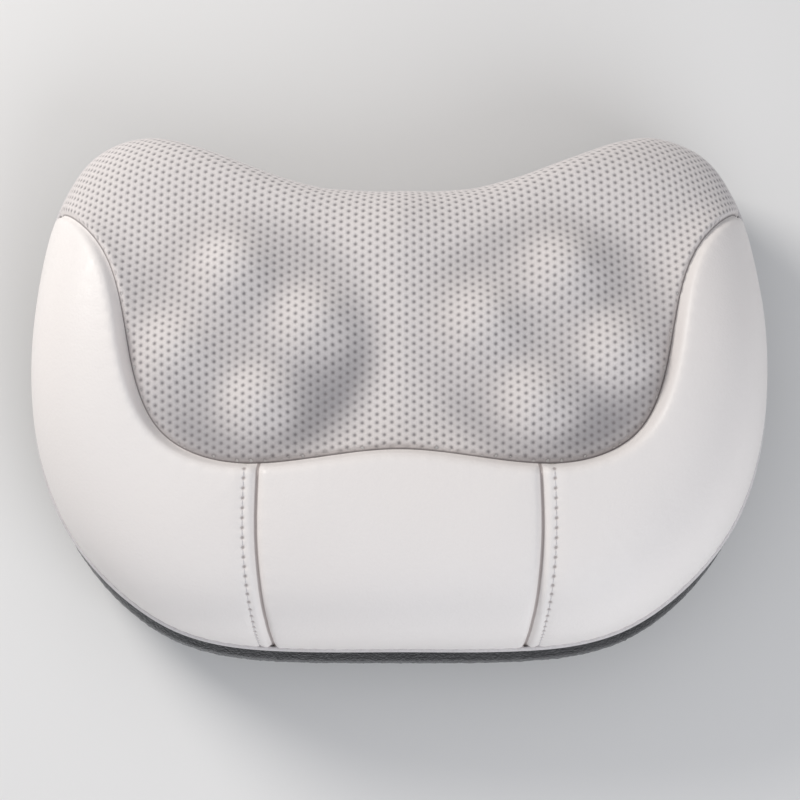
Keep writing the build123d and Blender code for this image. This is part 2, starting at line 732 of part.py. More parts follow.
for side, name in ((-1, "left"), (1, "right")):
    centre = Location((side * rotor_x, drive_y), -side * rotor_turn)
    hub = [centre.position]

    with BuildPart() as rotor_shaft:
        post(hub, shaft_low, shaft_high, rotor_shaft_radius)
        chamfer(rotor_shaft.edges().filter_by(GeomType.CIRCLE), 0.5)
    write(rotor_shaft.part, f"rotor_shaft_{name}")

    with BuildPart() as rotor_arm:
        with BuildSketch(centre * Plane.XY.offset(arm_z[0])):
            Circle(15)
            for turn in range(0, 180, 180 * 2 // heads_per_rotor):
                SlotCenterToCenter(2 * head_circle, 20, rotation=turn)
        extrude(amount=arm_z[1] - arm_z[0])
        fillet(rotor_arm.faces().sort_by(Axis.Z)[-1].outer_wire().edges(), 1.5)
        post(hub, lid_z + 1.4, arm_z[0], 9)
        drill(hub, lid_z, arm_z[1] + 1, rotor_shaft_radius)
        with BuildSketch(centre * Plane.XY.offset(arm_z[0])):
            with PolarLocations(head_circle, heads_per_rotor):
                Circle(screw_head_radius + 0.2)
        extrude(amount=2.4, mode=Mode.SUBTRACT)
        with BuildSketch(centre * Plane.XY.offset(arm_z[0])):
            with PolarLocations(head_circle, heads_per_rotor):
                Circle(screw_radius)
        extrude(amount=20, mode=Mode.SUBTRACT)
    write(rotor_arm.part, f"rotor_arm_{name}")

    with BuildPart() as rotor_nut:
        with BuildSketch(centre * Plane.XY.offset(nut_z[0])):
            RegularPolygon(6.5, 6)
            Circle(rotor_shaft_radius, mode=Mode.SUBTRACT)
        extrude(amount=nut_z[1] - nut_z[0])
        with BuildSketch(centre * Plane.XY.offset(arm_z[1])):
            Circle(8)
            Circle(rotor_shaft_radius, mode=Mode.SUBTRACT)
        extrude(amount=nut_z[0] - arm_z[1])
    write(rotor_nut.part, f"rotor_nut_{name}")

    head_places = [centre * place for place in PolarLocations(head_circle, heads_per_rotor).local_locations]
    screw_points = [place.position for place in head_places]
    with BuildPart() as head_screws:
        pan_screws(screw_points, arm_z[0] + 2.4, arm_z[1] + 9, True)
    write(head_screws.part, f"head_screws_{name}")

    # Each head is a ball on a short neck.
    ball_z = head_top_z - head_radius
    for number, place in enumerate(head_places, 1):
        with BuildPart() as massage_head:
            with BuildSketch(Plane(place.position, x_dir=(1, 0, 0), z_dir=(0, -1, 0))):
                with BuildLine():
                    neck = Line((10, arm_z[1]), (10.5, ball_z - 10))
                    TangentArc(neck @ 1, (head_radius, ball_z), tangent=(0.5, 1))
                    dome = CenterArc((0, ball_z), head_radius, 0, 90)
                    Polyline(dome @ 1, (0, arm_z[1]), neck @ 0)
                make_face()
            revolve(axis=Axis(place.position, (0, 0, 1)))
            drill([place.position], arm_z[1], arm_z[1] + 9, screw_radius)
        write(massage_head.part, f"massage_head_{name}_{number}")

# ---------------------------------------------------------------- control board

board_z = (50.4, 52.0)
board_length = 56.0
board_y = -52.0
connector_y = -28.0
connector_x = 21.5

with BuildPart() as control_board:
    with BuildSketch(Plane.XY.offset(board_z[0])):
        with Locations((0, board_y)):
            RectangleRounded(53, board_length, 2)
        with Locations(*both(board_posts)):
            Circle(screw_radius, mode=Mode.SUBTRACT)
    extrude(amount=board_z[1] - board_z[0])
write(control_board.part, "control_board")

# A driver chip, an electrolytic capacitor, a relay and a crystal.
with BuildPart() as board_components:
    with BuildSketch(Plane.XY.offset(board_z[1])):
        with Locations((-8, -46)):
            Rectangle(10, 7.5)
    extrude(amount=1.8)
    with BuildSketch(Plane.XY.offset(board_z[1])):
        with Locations((10, -66)):
            Circle(4)
    extrude(amount=7.5)
    with BuildSketch(Plane.XY.offset(board_z[1])):
        with Locations((-9, -64)):
            Rectangle(12, 10)
    extrude(amount=7)
    with BuildSketch(Plane.XY.offset(board_z[1])):
        with Locations((10, -44)):
            SlotOverall(10, 4.2)
    extrude(amount=3.4)
write(board_components.part, "board_components")

connector_z = 44.0
with BuildPart() as board_connector:
    with BuildSketch(Plane.XY.offset(connector_z)):
        with Locations((connector_x, connector_y)):
            Rectangle(6.6, 7)
    extrude(amount=board_z[0] - connector_z)
write(board_connector.part, "board_connector")

# Small screws: four up through the board, and two down through the motor clamp's feet.
with BuildPart() as small_screws:
    pan_screws(both(board_posts), board_z[0], board_z[1] + 6, True, radius=1.2, head_radius=2.4)
    pan_screws(both([clamp_post]), shaft_z - 11, shaft_z + 1, False, radius=1.2, head_radius=2.4)
write(small_screws.part, "small_screws")

lead_radius = 0.8
lead_y = -78.5
with BuildPart() as motor_leads:
    for x in (-8, 8):
        with BuildLine() as lead_path:
            FilletPolyline((x, -70, shaft_z), (x, lead_y, shaft_z), (x, lead_y, board_z[0]), radius=5)
        with BuildSketch(Plane(lead_path.line @ 0, z_dir=lead_path.line % 0)):
            Circle(lead_radius)
        sweep(path=lead_path.line)
write(motor_leads.part, "motor_leads")

# ---------------------------------------------------------------- control plate

sleeve_inner = sleeve_inset + 2 * sleeve_wall
button_face = 0.5  # how far the button stands out of the plate
button_length = 6.0
button_flange = 1.2
switch_depth = 9.4  # the switch's face, behind the plate's face
switch_height = 3.0
plunger_radius = 1.6
plunger_reach = 0.8  # how far the plunger stands in the switch at rest

with BuildPart() as control_plate:
    with BuildSketch(plate_plane.offset(-plate_thickness)):
        SlotOverall(plate_length, plate_height)
    extrude(amount=plate_thickness)
    chamfer(control_plate.faces().sort_by(Axis.X)[-1].edges(), 0.8)
    with BuildSketch(plate_plane.offset(-plate_thickness)):
        SlotOverall(plate_length - sleeve_inset, plate_height - sleeve_inset)
    extrude(amount=-sleeve_depth)
    with BuildSketch(plate_plane.offset(-plate_thickness)):
        SlotOverall(plate_length - sleeve_inner, plate_height - sleeve_inner)
    extrude(amount=-sleeve_depth, mode=Mode.SUBTRACT)
    with BuildSketch(plate_plane.offset(-plate_thickness)):
        with Locations((button_offset, 0)):
            Circle(button_radius + 0.3)
        with Locations((jack_offset, 0)):
            Circle(3.4)
    extrude(amount=plate_thickness + 1, mode=Mode.SUBTRACT)
write(control_plate.part, "control_plate")

# Ring behind the side band that the plate is clamped to, through the fabric.
with BuildPart() as plate_ring:
    with BuildSketch(plate_plane.offset(-9)):
        SlotOverall(plate_length + 8, plate_height + 8)
        SlotOverall(plate_length - sleeve_inset, plate_height - sleeve_inset, mode=Mode.SUBTRACT)
    extrude(amount=1.6)
write(plate_ring.part, "plate_ring")

with BuildPart() as power_button:
    with BuildSketch(plate_plane.offset(button_face)):
        with Locations((button_offset, 0)):
            Circle(button_radius)
    extrude(amount=-button_length)
    fillet(power_button.faces().sort_by(Axis.X)[-1].edges(), 0.7)
    with BuildSketch(plate_plane.offset(-plate_thickness - 0.05)):
        with Locations((button_offset, 0)):
            Circle(button_radius + 0.6)
    extrude(amount=-button_flange)
write(power_button.part, "power_button")

with BuildPart() as switch_plunger:
    with BuildSketch(plate_plane.offset(button_face - button_length)):
        with Locations((button_offset, 0)):
            Circle(plunger_radius)
    extrude(amount=-(switch_depth + plunger_reach + button_face - button_length))
write(switch_plunger.part, "switch_plunger")

with BuildPart() as tact_switch:
    with BuildSketch(plate_plane.offset(-switch_depth)):
        with Locations((button_offset, 0)):
            Rectangle(6, 6)
            Circle(plunger_radius + 0.15, mode=Mode.SUBTRACT)
    extrude(amount=-switch_height + 0.6)
    with BuildSketch(plate_plane.offset(-switch_depth - switch_height + 0.6)):
        with Locations((button_offset, 0)):
            Rectangle(6, 6)
    extrude(amount=-0.6)
write(tact_switch.part, "tact_switch")

switch_board_depth = switch_depth + switch_height
with BuildPart() as switch_board:
    with BuildSketch(plate_plane.offset(-switch_board_depth)):
        SlotOverall(plate_length - sleeve_inner - 0.2, plate_height - sleeve_inner - 0.2)
    extrude(amount=-1.6)
write(switch_board.part, "switch_board")

with BuildPart() as dc_jack:
    with BuildSketch(plate_plane.offset(-switch_board_depth)):
        with Locations((jack_offset, 0)):
            Circle(4.4)
    extrude(amount=switch_board_depth - plate_thickness)
    with BuildSketch(plate_plane.offset(-switch_board_depth + 1.5)):
        with Locations((jack_offset, 0)):
            Circle(2.8)
    extrude(amount=switch_board_depth, mode=Mode.SUBTRACT)
    with BuildSketch(plate_plane.offset(-switch_board_depth + 1.5)):
        with Locations((jack_offset, 0)):
            Circle(1.05)
    extrude(amount=switch_board_depth - 1.5 - plate_thickness - 0.5)
write(dc_jack.part, "dc_jack")

# Cable from the switch board, through the foam and the housing wall, to the connector.
cable_start_x = plate_x - switch_board_depth - 1.6
cable_points = [
    (cable_start_x, plate_y, plate_z),
    (139, plate_y, plate_z),
    (119, 11, 17),
    (96, 2, 14),
    (66, -6, 13.5),
    (38, -8.5, 13.5),
    (23, -17, 13.5),
    (connector_x, connector_y, 22),
    (connector_x, connector_y, connector_z),
]


def bend_radii(points):
    """Radius for each corner of a cable route: as large as its two runs allow."""
    radii = []
    for before, here, after in zip(points, points[1:], points[2:]):
        first = Vector(*here) - Vector(*before)
        second = Vector(*after) - Vector(*here)
        turn = radians(first.get_angle(second))
        radii.append(0.45 * min(first.length, second.length) / tan(turn / 2))
    return radii


cable_radii = bend_radii(cable_points)
print("panel cable bend radii:", [round(radius, 1) for radius in cable_radii])
with BuildPart() as panel_cable:
    with BuildLine() as cable_path:
        FilletPolyline(*cable_points, radius=cable_radii)
    with BuildSketch(Plane(cable_path.line @ 0, z_dir=cable_path.line % 0)):
        Circle(cable_radius)
    sweep(path=cable_path.line)
write(panel_cable.part, "panel_cable")

# ---------------------------------------------------------------- foam

cavity_grow = 11.0
well_radius = 47.5
cavity_low = skin + 0.3

with BuildPart() as foam_base:
    add(foam_shape.part)
    split(bisect_by=Plane.XY.offset(foam_split_z), keep=Keep.BOTTOM)
    extrude(case_sketch(cavity_low, cavity_grow), amount=lid_z + 1 - cavity_low, mode=Mode.SUBTRACT)
    drill(rotor_points, lid_z, foam_split_z + 1, well_radius)
    with BuildSketch(Plane.XY):
        with Locations((0, zip_y)):
            Rectangle(2 * zip_half_length + 8, 2 * flange_width + 3)
    extrude(amount=8, mode=Mode.SUBTRACT)
    with BuildSketch(plate_plane.offset(5)):
        SlotOverall(plate_length + 10, plate_height + 10)
    extrude(amount=-sleeve_depth - plate_thickness - 7, mode=Mode.SUBTRACT)
    with BuildSketch(Plane.XY.offset(cable_entry[2] - 6)):
        with Locations(((case_radius + rotor_x + 160) / 2, plate_y - 2)):
            Rectangle(160 - case_radius - rotor_x + 10, 20)
    extrude(amount=24, mode=Mode.SUBTRACT)
write(foam_base.part, "foam_base")

with BuildPart() as foam_topper:
    add(foam_shape.part)
    split(bisect_by=Plane.XY.offset(foam_split_z + 0.2), keep=Keep.TOP)
    drill(rotor_points, foam_split_z, front_high, well_radius)
write(foam_topper.part, "foam_topper")
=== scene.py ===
import json
import bpy
import numpy as np
from math import cos, pi, radians, sin
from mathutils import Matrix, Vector
from mathutils.geometry import delaunay_2d_cdt


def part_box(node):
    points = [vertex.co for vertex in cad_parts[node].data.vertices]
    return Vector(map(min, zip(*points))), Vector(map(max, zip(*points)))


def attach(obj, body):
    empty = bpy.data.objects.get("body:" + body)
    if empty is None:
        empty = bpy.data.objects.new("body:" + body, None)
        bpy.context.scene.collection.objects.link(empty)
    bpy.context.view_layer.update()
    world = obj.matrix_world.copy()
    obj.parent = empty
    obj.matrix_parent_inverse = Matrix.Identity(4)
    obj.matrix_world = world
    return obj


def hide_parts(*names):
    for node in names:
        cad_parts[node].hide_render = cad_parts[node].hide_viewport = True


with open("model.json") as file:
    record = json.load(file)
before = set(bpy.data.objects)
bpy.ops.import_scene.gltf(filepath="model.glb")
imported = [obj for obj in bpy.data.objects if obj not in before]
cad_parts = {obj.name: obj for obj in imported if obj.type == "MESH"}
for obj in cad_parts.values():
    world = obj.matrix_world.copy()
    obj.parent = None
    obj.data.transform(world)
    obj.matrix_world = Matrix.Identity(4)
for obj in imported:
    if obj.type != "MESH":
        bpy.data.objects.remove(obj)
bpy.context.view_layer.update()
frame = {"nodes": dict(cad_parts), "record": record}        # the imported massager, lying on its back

mm = 0.001
nodes = frame["nodes"]


# lines and the cushion's shape are in mm; makePiece turns them into metres
def smoothLine(points, spacing, closed=False):
    # cubic through the points, then evenly spaced along its length
    p = np.array(points, float)
    if closed:
        p = np.vstack([p, p[:1]])
    t = np.concatenate([[0], np.cumsum(np.linalg.norm(np.diff(p, axis=0), axis=1))])
    n, h = len(t), np.diff(t)
    slope = np.diff(p, axis=0) / h[:, None]
    left, right = np.zeros((n, n)), np.zeros(p.shape)
    for i in range(1, n - 1):
        left[i, i - 1:i + 2] = h[i - 1], 2 * (h[i - 1] + h[i]), h[i]
        right[i] = 6 * (slope[i] - slope[i - 1])
    left[0, 0] = left[-1, -1] = 1
    if closed:
        left[0, 0], left[0, 1], left[0, n - 2] = 2 * (h[0] + h[-1]), h[0], h[-1]
        right[0] = 6 * (slope[0] - slope[-1])
        left[-1, 0] = -1
    bend = np.linalg.solve(left, right)
    u = np.linspace(0, t[-1], 4000)   # finer than any spacing that is asked for
    k = np.clip(np.searchsorted(t, u, side="right") - 1, 0, n - 2)
    d, hk = (u - t[k])[:, None], h[k][:, None]
    curve = p[k] + d * (slope[k] - hk * (2 * bend[k] + bend[k + 1]) / 6)
    curve = curve + d ** 2 * bend[k] / 2 + d ** 3 * (bend[k + 1] - bend[k]) / (6 * hk)
    return evenly(curve, spacing)


def evenly(curve, spacing):
    run = np.concatenate([[0], np.cumsum(np.linalg.norm(np.diff(curve, axis=0), axis=1))])
    count = max(2, int(round(run[-1] / spacing)) + 1)
    at = np.linspace(0, run[-1], count)
    return np.stack([np.interp(at, run, curve[:, i]) for i in range(curve.shape[1])], 1)


def bothSides(half):
    return [(-x, y) for x, y in reversed(half) if x > 0] + list(half)


cushion = {
    "halfOutline": [(0, 96), (38, 98), (67, 107), (95, 118), (124, 124), (144, 117.5), (162, 94), (171, 60),
                    (175, 16), (167, -42), (129, -100), (107, -114.5), (57, -124.3), (0, -125)],
    "crown": (100, 45),       # half width and half height of the ellipse at the top
    "centreY": 14,
    # share of the run from the edge to the crown, and height
    "front": [(0.013, 46), (0.020, 54), (0.042, 66), (0.125, 84), (0.270, 97), (0.500, 106), (0.750, 110.5),
              (1.000, 112.5)],
    "back": [(0.013, 46), (0.013, 30), (0.022, 17), (0.050, 8), (0.115, 2.5), (0.200, 0.0)],
    "sideRun": 80,
    "pipingZ": 46,
}
centre = np.array([0, cushion["centreY"]], float)
halfOutline = cushion["halfOutline"]
outline = smoothLine(halfOutline + [(-x, y) for x, y in halfOutline[-2:0:-1]], 0.5, closed=True)
ray = outline - centre
rayAngle = np.arctan2(ray[:, 1], ray[:, 0])
rayOrder = np.argsort(rayAngle)


def polar(points):
    # angle and distance from the cushion's middle
    away = points[:, :2] - centre
    return np.arctan2(away[:, 1], away[:, 0]), np.linalg.norm(away, axis=1)


def edgeRadius(angle):
    return np.interp(angle, rayAngle[rayOrder], np.linalg.norm(ray, axis=1)[rayOrder], period=2 * pi)


def crownRadius(angle):
    a, b = cushion["crown"]
    return 1 / np.sqrt((np.cos(angle) / a) ** 2 + (np.sin(angle) / b) ** 2)


def profileTable(rows):
    # share and height along the profile, with the shares turned into a typical run so that it is smooth
    line = smoothLine([(share * cushion["sideRun"], z) for share, z in rows], 0.25)
    return line[:, 0] / cushion["sideRun"], line[:, 1]


frontShare, frontZ = profileTable(cushion["front"])
backShare, backZ = profileTable(cushion["back"])
runStep = np.diff(frontShare) * cushion["sideRun"]
wallStep = np.hypot(runStep, np.diff(frontZ)) - runStep
wallExtra = np.concatenate([np.cumsum(wallStep[::-1])[::-1], [0]])  # length that the plan view hides


def shareAt(angle, radius):
    edge = edgeRadius(angle)
    return np.clip((edge - radius) / (edge - crownRadius(angle)), 0, 1)


def toFlat(points):
    # plan to flat pattern: the same direction from the centre, with the steep edge rolled out
    angle, radius = polar(points)
    flat = radius + np.interp(shareAt(angle, radius), frontShare, wallExtra)
    return centre + np.stack([flat * np.cos(angle), flat * np.sin(angle)], 1)


def fromFlat(points):
    # flat pattern to plan and height
    angle, flat = polar(points)
    edge, crown = edgeRadius(angle), crownRadius(angle)
    low, high = crown.copy(), edge - (edge - crown) * frontShare[0]
    for _ in range(30):       # halving, until the distance on the flat pattern is met
        middle = (low + high) / 2
        tooFar = middle + np.interp((edge - middle) / (edge - crown), frontShare, wallExtra) > flat
        high, low = np.where(tooFar, middle, high), np.where(tooFar, low, middle)
    radius = np.where(flat < crown, flat, (low + high) / 2)
    z = np.interp(np.clip((edge - radius) / (edge - crown), 0, 1), frontShare, frontZ)
    return np.stack([radius * np.cos(angle), centre[1] + radius * np.sin(angle), z], 1)


def heightAt(points):
    return np.interp(shareAt(*polar(points)), frontShare, frontZ)


print("cushion shape ready")


# flat patterns are filled with triangles, then laid on the cushion
def insideLoop(points, loop):
    inside = np.zeros(len(points), bool)
    x, y = points[:, 0], points[:, 1]
    for (x1, y1), (x2, y2) in zip(loop, np.roll(loop, -1, axis=0)):
        if y1 != y2:
            inside ^= ((y1 > y) != (y2 > y)) & (x < (x2 - x1) * (y - y1) / (y2 - y1) + x1)
    return inside


blockSize = 4000              # points handled at once, to spare memory


def nearLine(points, line):
    # distance to a line, and how far along the line that is
    distance, run = np.full(len(points), 1e9), np.zeros(len(points))
    a, along = line[:-1], np.diff(line, axis=0)
    length = np.linalg.norm(along, axis=1)
    before = np.concatenate([[0], np.cumsum(length)[:-1]])
    for start in range(0, len(points), blockSize):
        block = points[start:start + blockSize]
        t = np.einsum("pij,ij->pi", block[:, None] - a, along) / np.maximum(length ** 2, 1e-12)
        t = np.clip(t, 0, 1)
        gap = np.linalg.norm(block[:, None] - a - t[..., None] * along, axis=2)
        k = gap.argmin(1)
        rows = np.arange(len(block))
        distance[start:start + blockSize] = gap[rows, k]
        run[start:start + blockSize] = before[k] + t[rows, k] * length[k]
    return distance, run


def fillPattern(loop, spacing, rows, extra=(), hole=None):
    # triangles inside a closed flat outline, with rows of points beside its edge
    closed = np.vstack([loop, loop[:1]])
    tangent = np.roll(loop, -1, axis=0) - np.roll(loop, 1, axis=0)
    normal = np.stack([-tangent[:, 1], tangent[:, 0]], 1) / np.linalg.norm(tangent, axis=1)[:, None]
    if not insideLoop(loop[:1] + normal[:1] * 0.05, loop)[0]:
        normal = -normal
    groups = [loop]
    for offset in rows:
        row = loop + normal * offset
        row = row[insideLoop(row, loop)]
        groups.append(row[nearLine(row, closed)[0] > offset * 0.93])
    extra = [e[insideLoop(e, loop)] for e in extra]
    groups += extra
    low, high = loop.min(0), loop.max(0)
    stepY, stepX = spacing, spacing * 3 ** 0.5 / 2
    columns = np.arange(np.floor(low[0] / stepX), np.ceil(high[0] / stepX) + 1)
    lines = np.arange(np.floor(low[1] / stepY) - 1, np.ceil(high[1] / stepY) + 1)
    gridX, gridY = np.meshgrid(columns, lines, indexing="ij")
    grid = np.stack([(gridX * stepX).ravel(), ((gridY + (gridX % 2) / 2) * stepY).ravel()], 1)
    grid = grid[insideLoop(grid, loop)]
    clear = nearLine(grid, closed)[0] > (rows[-1] if rows else 0) + spacing * 0.6
    for e in extra:
        if len(e):
            clear &= nearLine(grid, e)[0] > spacing * 0.9
    groups.append(grid[clear])
    rings = [list(range(len(loop)))]
    if hole is not None:
        groups = [g if i == 0 else g[~insideLoop(g, hole)] for i, g in enumerate(groups)]
        rings.append(list(range(sum(map(len, groups)), sum(map(len, groups)) + len(hole))))
        groups.append(hole)
    points = np.vstack(groups)
    result = delaunay_2d_cdt([Vector(p) for p in points], [], rings, 1, 1e-4)
    verts = np.array([tuple(v) for v in result[0]])
    faces = np.array(result[2])
    a, b, c = (verts[faces[:, i]] for i in range(3))
    area = (b[:, 0] - a[:, 0]) * (c[:, 1] - a[:, 1]) - (b[:, 1] - a[:, 1]) * (c[:, 0] - a[:, 0])
    faces[area < 0] = faces[area < 0][:, ::-1]
    keep = np.abs(area) > 1e-6
    if hole is not None:
        keep &= ~insideLoop((a + b + c) / 3, hole)
    return verts, faces[keep]


def onCushion(flat, offset=0.0):
    # flat pattern points laid on the cushion and moved out along its normal
    along = fromFlat(flat + [0.5, 0]) - fromFlat(flat - [0.5, 0])
    across = fromFlat(flat + [0, 0.5]) - fromFlat(flat - [0, 0.5])
    normal = np.cross(along, across)
    normal /= np.maximum(np.linalg.norm(normal, axis=1), 1e-9)[:, None]
    return fromFlat(flat) + normal * np.reshape(offset, (-1, 1))


def tube(points, radius, sides, closed=False):
    # a round tube along a line; an open one narrows at both ends
    p = np.asarray(points, float)
    if closed:
        tangent = np.roll(p, -1, axis=0) - np.roll(p, 1, axis=0)
    else:
        tangent = np.gradient(p, axis=0)
    tangent /= np.linalg.norm(tangent, axis=1)[:, None]
    up = np.array([0.05, 0.03, 1.0])  # a little off upright, so that no tube runs along it
    side = np.cross(tangent, up)
    side /= np.maximum(np.linalg.norm(side, axis=1), 1e-9)[:, None]
    top = np.cross(side, tangent)
    radii = np.full(len(p), float(radius))
    if not closed:
        radii[[0, -1]] *= 0.35
    turn = np.linspace(0, 2 * pi, sides, endpoint=False)
    ring = np.cos(turn)[None, :, None] * side[:, None] + np.sin(turn)[None, :, None] * top[:, None]
    verts = (p[:, None] + radii[:, None, None] * ring).reshape(-1, 3)
    faces = []
    for i in range(len(p) if closed else len(p) - 1):
        j = (i + 1) % len(p)
        for k in range(sides):
            m = (k + 1) % sides
            faces.append((i * sides + k, i * sides + m, j * sides + m, j * sides + k))
    if not closed:
        faces += [tuple(range(sides))[::-1], tuple(range((len(p) - 1) * sides, len(p) * sides))]
    return verts, faces


def joined(parts):
    verts, faces, start = [], [], 0
    for v, f in parts:
        verts.append(v)
        faces += [tuple(i + start for i in face) for face in f]
        start += len(v)
    return np.vstack(verts), faces


def makePiece(name, points, faces, slot, replaced=(), flat=None, values=()):
    mesh = bpy.data.meshes.new(name)
    mesh.from_pydata((np.asarray(points) * mm).tolist(), [], [list(map(int, f)) for f in faces])
    mesh.update()
    mesh.polygons.foreach_set("use_smooth", np.ones(len(mesh.polygons), bool))
    if flat is not None:
        loops = np.zeros(len(mesh.loops), np.int32)
        mesh.loops.foreach_get("vertex_index", loops)
        mesh.uv_layers.new(name="cloth").data.foreach_set("uv", (np.asarray(flat)[loops] * mm).ravel())
    for key, value in values:
        mesh.attributes.new(key, "FLOAT", "POINT").data.foreach_set("value", np.asarray(value, np.float32))
    piece = bpy.data.objects.new(name, mesh)
    bpy.context.scene.collection.objects.link(piece)
    mesh.materials.append(finishes[slot])
    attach(piece, "root")
    if replaced:
        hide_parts(*replaced)
    return piece


class finishNodes:
    # short names for building one material's nodes
    def __init__(self, name):
        self.material = bpy.data.materials.new(name)
        self.material.use_nodes = True
        self.tree = self.material.node_tree
        self.surface = self.tree.nodes["Principled BSDF"]

    def put(self, value, socket):
        if isinstance(value, bpy.types.NodeSocket):
            self.tree.links.new(value, socket)
        else:
            socket.default_value = value

    def times(self, value, factor):
        node = self.tree.nodes.new("ShaderNodeMath")
        node.operation = "MULTIPLY"
        self.put(value, node.inputs[0])
        self.put(factor, node.inputs[1])
        return node.outputs[0]

    def step(self, value, low, high, outLow=0.0, outHigh=1.0):
        node = self.tree.nodes.new("ShaderNodeMapRange")
        node.interpolation_type = "SMOOTHSTEP"
        for v, socket in zip((value, low, high, outLow, outHigh), node.inputs):
            self.put(v, socket)
        return node.outputs[0]

    def mix(self, share, a, b):
        node = self.tree.nodes.new("ShaderNodeMix")
        node.data_type = "RGBA"
        self.put(share, node.inputs[0])
        self.put(a, node.inputs[6])
        self.put(b, node.inputs[7])
        return node.outputs[2]

    def noise(self, scale, detail=3.0, rough=0.55):
        node = self.tree.nodes.new("ShaderNodeTexNoise")
        node.inputs["Scale"].default_value = scale
        node.inputs["Detail"].default_value = detail
        node.inputs["Roughness"].default_value = rough
        self.put(self.place(), node.inputs["Vector"])
        return node.outputs["Fac"]

    def cells(self, scale, feature="F1", random=1.0):
        node = self.tree.nodes.new("ShaderNodeTexVoronoi")
        node.feature = feature
        node.inputs["Scale"].default_value = scale
        node.inputs["Randomness"].default_value = random
        self.put(self.place(), node.inputs["Vector"])
        return node.outputs["Distance"]

    def place(self):
        if not hasattr(self, "coordinates"):
            self.coordinates = self.tree.nodes.new("ShaderNodeTexCoord").outputs["Object"]
        return self.coordinates

    def value(self, name):
        node = self.tree.nodes.new("ShaderNodeAttribute")
        node.attribute_name = name
        return node.outputs["Fac"]

    def bump(self, height, distance, strength=1.0, under=None):
        node = self.tree.nodes.new("ShaderNodeBump")
        node.inputs["Strength"].default_value = strength
        node.inputs["Distance"].default_value = distance
        self.put(height, node.inputs["Height"])
        if under is not None:
            self.put(under, node.inputs["Normal"])
        return node.outputs["Normal"]

    def set(self, **inputs):
        names = {"color": "Base Color", "metal": "Metallic", "rough": "Roughness", "normal": "Normal",
                 "specular": "Specular IOR Level", "sheen": "Sheen Weight"}
        for key, value in inputs.items():
            self.put(value, self.surface.inputs[names[key]])
        return self.material


def darker(color, share):
    return tuple(part * share for part in color[:3]) + (1,)


def fabricMaterial(name, color, dark, rough=0.85, sheen=0.3, threadSize=900.0, bump=0.0002):
    s = finishNodes(name)
    weave = s.noise(threadSize, 2.0)
    patch = s.noise(60.0, 4.0)
    shade = s.mix(s.times(patch, 0.7), color, dark)
    return s.set(color=s.mix(s.step(weave, 0.35, 0.7, 0.0, 0.35), shade, dark), rough=rough, sheen=sheen,
                 specular=0.2, normal=s.bump(weave, bump))


leatherLook = {
    "warm": (0.84, 0.79, 0.765, 1), "pale": (0.87, 0.835, 0.815, 1), "patchSize": 9.0,
    "grainSize": 900.0, "grainDepth": 0.00022, "creaseSize": 220.0, "creaseDepth": 0.00035,
    # the seam tone is painted shade in the groove of the chin seams
    "seamShadeTone": (0.30, 0.25, 0.24, 1), "seamFrom": 0.45, "seamTo": 1.05, "seamStrength": 0.8,
    # the hole tone is painted shade in the needle holes of the topstitch
    "holeShadeTone": (0.33, 0.28, 0.27, 1), "holeStrength": 0.75, "smooth": 0.42, "worn": 0.55,
}


def leatherMaterial():
    look = leatherLook
    s = finishNodes("whiteLeather")
    grain = s.cells(look["grainSize"], "SMOOTH_F1")
    creases = s.noise(look["creaseSize"], 5.0, 0.6)
    tone = s.mix(s.noise(look["patchSize"], 2.0), look["warm"], look["pale"])
    # painted shade darkens the leather in the groove of the chin seams
    seamPaintedShade = s.step(s.value("seam"), look["seamFrom"], look["seamTo"], look["seamStrength"], 0.0)
    hole = s.step(s.value("stitch"), 0.15, 0.7)
    tone = s.mix(seamPaintedShade, tone, look["seamShadeTone"])
    # painted shade darkens each needle hole
    tone = s.mix(s.times(hole, look["holeStrength"]), tone, look["holeShadeTone"])
    fine = s.bump(grain, look["grainDepth"], 0.35)
    return s.set(color=tone, rough=s.step(creases, 0.3, 0.7, look["smooth"], look["worn"]), specular=0.45,
                 sheen=0.05, normal=s.bump(creases, look["creaseDepth"], 0.3, fine))


meshLook = {
    "yarn": (0.73, 0.685, 0.67, 1), "paleYarn": (0.79, 0.745, 0.73, 1), "patchSize": 25.0,
    "yarnSize": 1500.0, "yarnDepth": 0.00025, "yarnShade": (0.42, 0.38, 0.38, 1), "yarnStrength": 0.22,
    "paintedWellShadeTone": (0.22, 0.215, 0.235, 1), "paintedWellShadeStrength": 0.85,    # painted shade over an empty well, darkest on the well's side away from the key light
    # the hole tone is painted shade in the knit's open holes
    "holeShadeTone": (0.20, 0.185, 0.19, 1), "holeStrength": 0.82,
    # the seam tone is painted shade along the mesh panel's edges, under the leather and the piping
    "seamShadeTone": (0.16, 0.14, 0.14, 1), "seamFrom": 0.2, "seamTo": 1.2, "seamStrength": 0.8,
}


def meshMaterial():
    look = meshLook
    s = finishNodes("airMesh")
    yarn = s.noise(look["yarnSize"], 3.0)
    tone = s.mix(s.noise(look["patchSize"], 3.0), look["yarn"], look["paleYarn"])
    tone = s.mix(s.step(yarn, 0.3, 0.75, 0.0, look["yarnStrength"]), tone, look["yarnShade"])
    # painted shade: the knit is darkened over the empty wells
    tone = s.mix(s.times(s.value("paintedWellShade"), look["paintedWellShadeStrength"]), tone, look["paintedWellShadeTone"])
    # painted shade in the knit's open holes
    tone = s.mix(s.step(s.value("hole"), 0.05, 0.85, 0.0, look["holeStrength"]), tone, look["holeShadeTone"])
    # painted shade along the mesh panel's edges, under the leather's edge and the piping
    seamPaintedShade = s.step(s.value("seam"), look["seamFrom"], look["seamTo"], look["seamStrength"], 0.0)
    tone = s.mix(seamPaintedShade, tone, look["seamShadeTone"])
    return s.set(color=tone, rough=0.9, specular=0.15, sheen=0.25,
                 normal=s.bump(yarn, look["yarnDepth"], 0.6))


